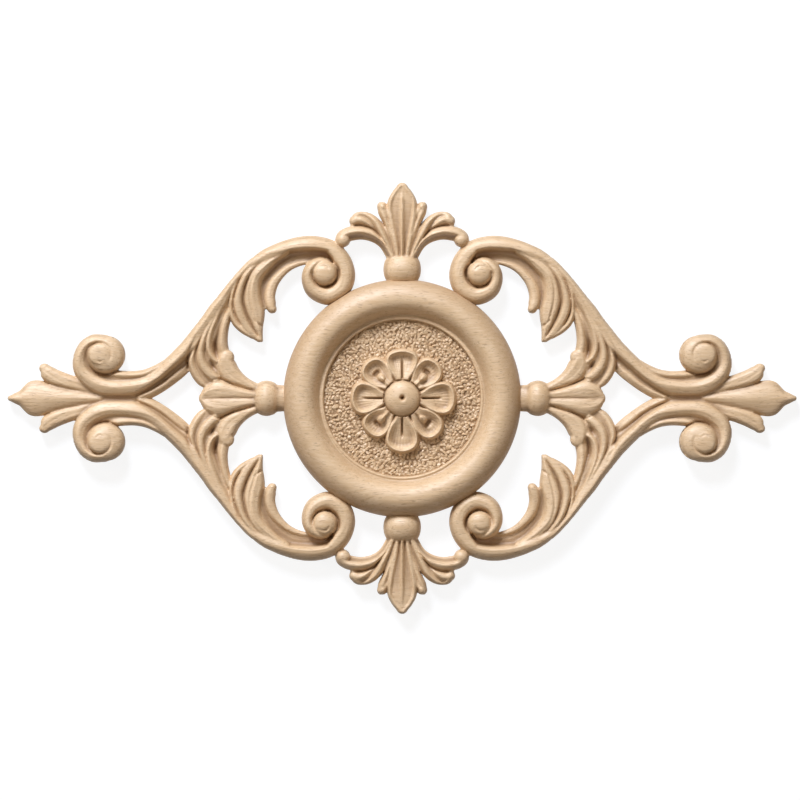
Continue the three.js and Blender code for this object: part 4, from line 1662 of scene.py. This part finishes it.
@dataclass(frozen=True)
class Lamp:
    """A soft square light that faces the carving."""

    name: str
    place: tuple[float, float, float]
    size: float
    power: float
    colour: Colour

    def build(self) -> None:
        """Adds the light to the scene."""
        data = bpy.data.lights.new(self.name, "AREA")
        data.size, data.energy, data.color = self.size, self.power, self.colour
        made = bpy.data.objects.new(self.name, data)
        made.location = self.place
        made.rotation_euler = (-Vector(self.place)).to_track_quat("-Z", "Y").to_euler()
        bpy.context.scene.collection.objects.link(made)


@dataclass
class Studio:
    """The pale room: a floor, a board close behind the carving, soft light and the camera."""

    view_width: float = 0.4056
    centre_x: float = -0.0011
    centre_z: float = -0.00086
    distance: float = 2.6
    sensor: float = 36.0
    floor_level: float = -0.42
    floor_reach: float = 3.0
    floor_colour: Colour = (0.9, 0.9, 0.9)
    board_gap: float = 0.0006
    board_half: float = 0.6
    board_span: tuple[float, float] = (-0.4, 0.5)
    board_colour: Colour = (0.17, 0.175, 0.185)
    board_glow: float = 0.88
    world_colour: Colour = (1, 0.78, 0.54)
    world_strength: float = 0.085
    lamps: tuple[Lamp, ...] = (
        Lamp("key", (-0.574, -1.28, 1.668), 0.7, 63.5, (0.945, 1.0, 1.115)),
        Lamp("side", (-1.6, -1.1, 0.5), 0.9, 9, (1.0, 0.92, 0.82)),
        Lamp("fill", (1.7, -1.5, -0.5), 1.0, 20, (1.0, 0.88, 0.74)))

    def _plane(self, name: str, corners: Rows, material: bpy.types.Material) -> None:
        """Adds a flat sheet to the stage, which throws no coloured light back on the carving.

        Args:
            name: Its name.
            corners: Its four corners in metres.
            material: Its paint.
        """
        made = mesh_object(name, np.array(corners), np.array([[0, 1, 2, 3]]))
        made.data.materials.append(material)
        made.visible_diffuse = False

    def _paint(self, name: str, colour: Colour, one_sided: bool) -> bpy.types.Material:
        """Matt paint; a one-sided sheet glows a little and shows on its front only.

        Args:
            name: The material's name.
            colour: Its linear colour.
            one_sided: Whether it glows and shows on its front only.

        Returns:
            The material.
        """
        maker = FinishMaker(name)
        shader = maker.node("ShaderNodeBsdfDiffuse", None, {"Color": opaque(colour)})
        if one_sided:
            glow = maker.node("ShaderNodeEmission", None, {"Color": (1, 1, 1, 1), "Strength": self.board_glow})
            shader = maker.node("ShaderNodeAddShader", None, {0: shader, 1: glow})
            clear = maker.node("ShaderNodeBsdfTransparent")
            behind = maker.node("ShaderNodeNewGeometry", output="Backfacing")
            shader = maker.node("ShaderNodeMixShader", None, {0: behind, 1: shader, 2: clear})
        return maker.finished(shader)

    def _camera(self) -> None:
        """Adds the camera, which looks straight at the carving from far off."""
        camera = bpy.data.cameras.new("camera")
        camera.sensor_width = self.sensor
        camera.lens = self.sensor * self.distance / self.view_width
        holder = bpy.data.objects.new("camera", camera)
        holder.location = (self.centre_x, -self.distance, self.centre_z)
        holder.rotation_euler = (math.pi / 2, 0, 0)
        bpy.context.scene.collection.objects.link(holder)
        bpy.context.scene.camera = holder

    def build(self) -> None:
        """Sets up the stage, the lights, the world and the camera."""
        level, reach = self.floor_level, self.floor_reach
        corners = [(x, y, level) for x, y in (
            (-reach, -reach), (reach, -reach), (reach, reach), (-reach, reach))]
        self._plane("floor", corners, self._paint("floor_paint", self.floor_colour, False))
        half, gap, (low, high) = self.board_half, self.board_gap, self.board_span
        corners = [(-half, gap, low), (half, gap, low), (half, gap, high), (-half, gap, high)]
        self._plane("backdrop", corners, self._paint("board_paint", self.board_colour, True))
        for lamp in self.lamps:
            lamp.build()
        world = bpy.data.worlds.new("room")
        world.use_nodes = True
        glow = world.node_tree.nodes["Background"]
        glow.inputs["Color"].default_value = opaque(self.world_colour)
        glow.inputs["Strength"].default_value = self.world_strength
        bpy.context.scene.world = world
        bpy.context.scene.view_settings.view_transform = "Standard"
        self._camera()


def settle(made: bpy.types.Object, stands_for_node: bool) -> None:
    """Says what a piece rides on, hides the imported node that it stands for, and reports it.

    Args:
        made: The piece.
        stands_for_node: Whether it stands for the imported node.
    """
    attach(made, BODY)
    if stands_for_node:
        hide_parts(NODE)
    log.info("%s: %d faces", made.name, len(made.data.polygons))


def main() -> None:
    """Builds every piece in order."""
    logging.basicConfig(level=logging.INFO, format="%(name)s: %(message)s")
    drawn = Drawn.from_frame()
    finish = pulp_material(PulpFinish())
    Studio().build()
    pieces = [
        CarvedWork().build(drawn, finish),
        RoundFrame().build(drawn, finish),
        Rosette().build(drawn, finish),
        StippledGround().build(drawn, finish),
    ]
    for made in pieces:
        settle(made, stands_for_node=made is pieces[0])


if __name__ == "__main__":
    main()
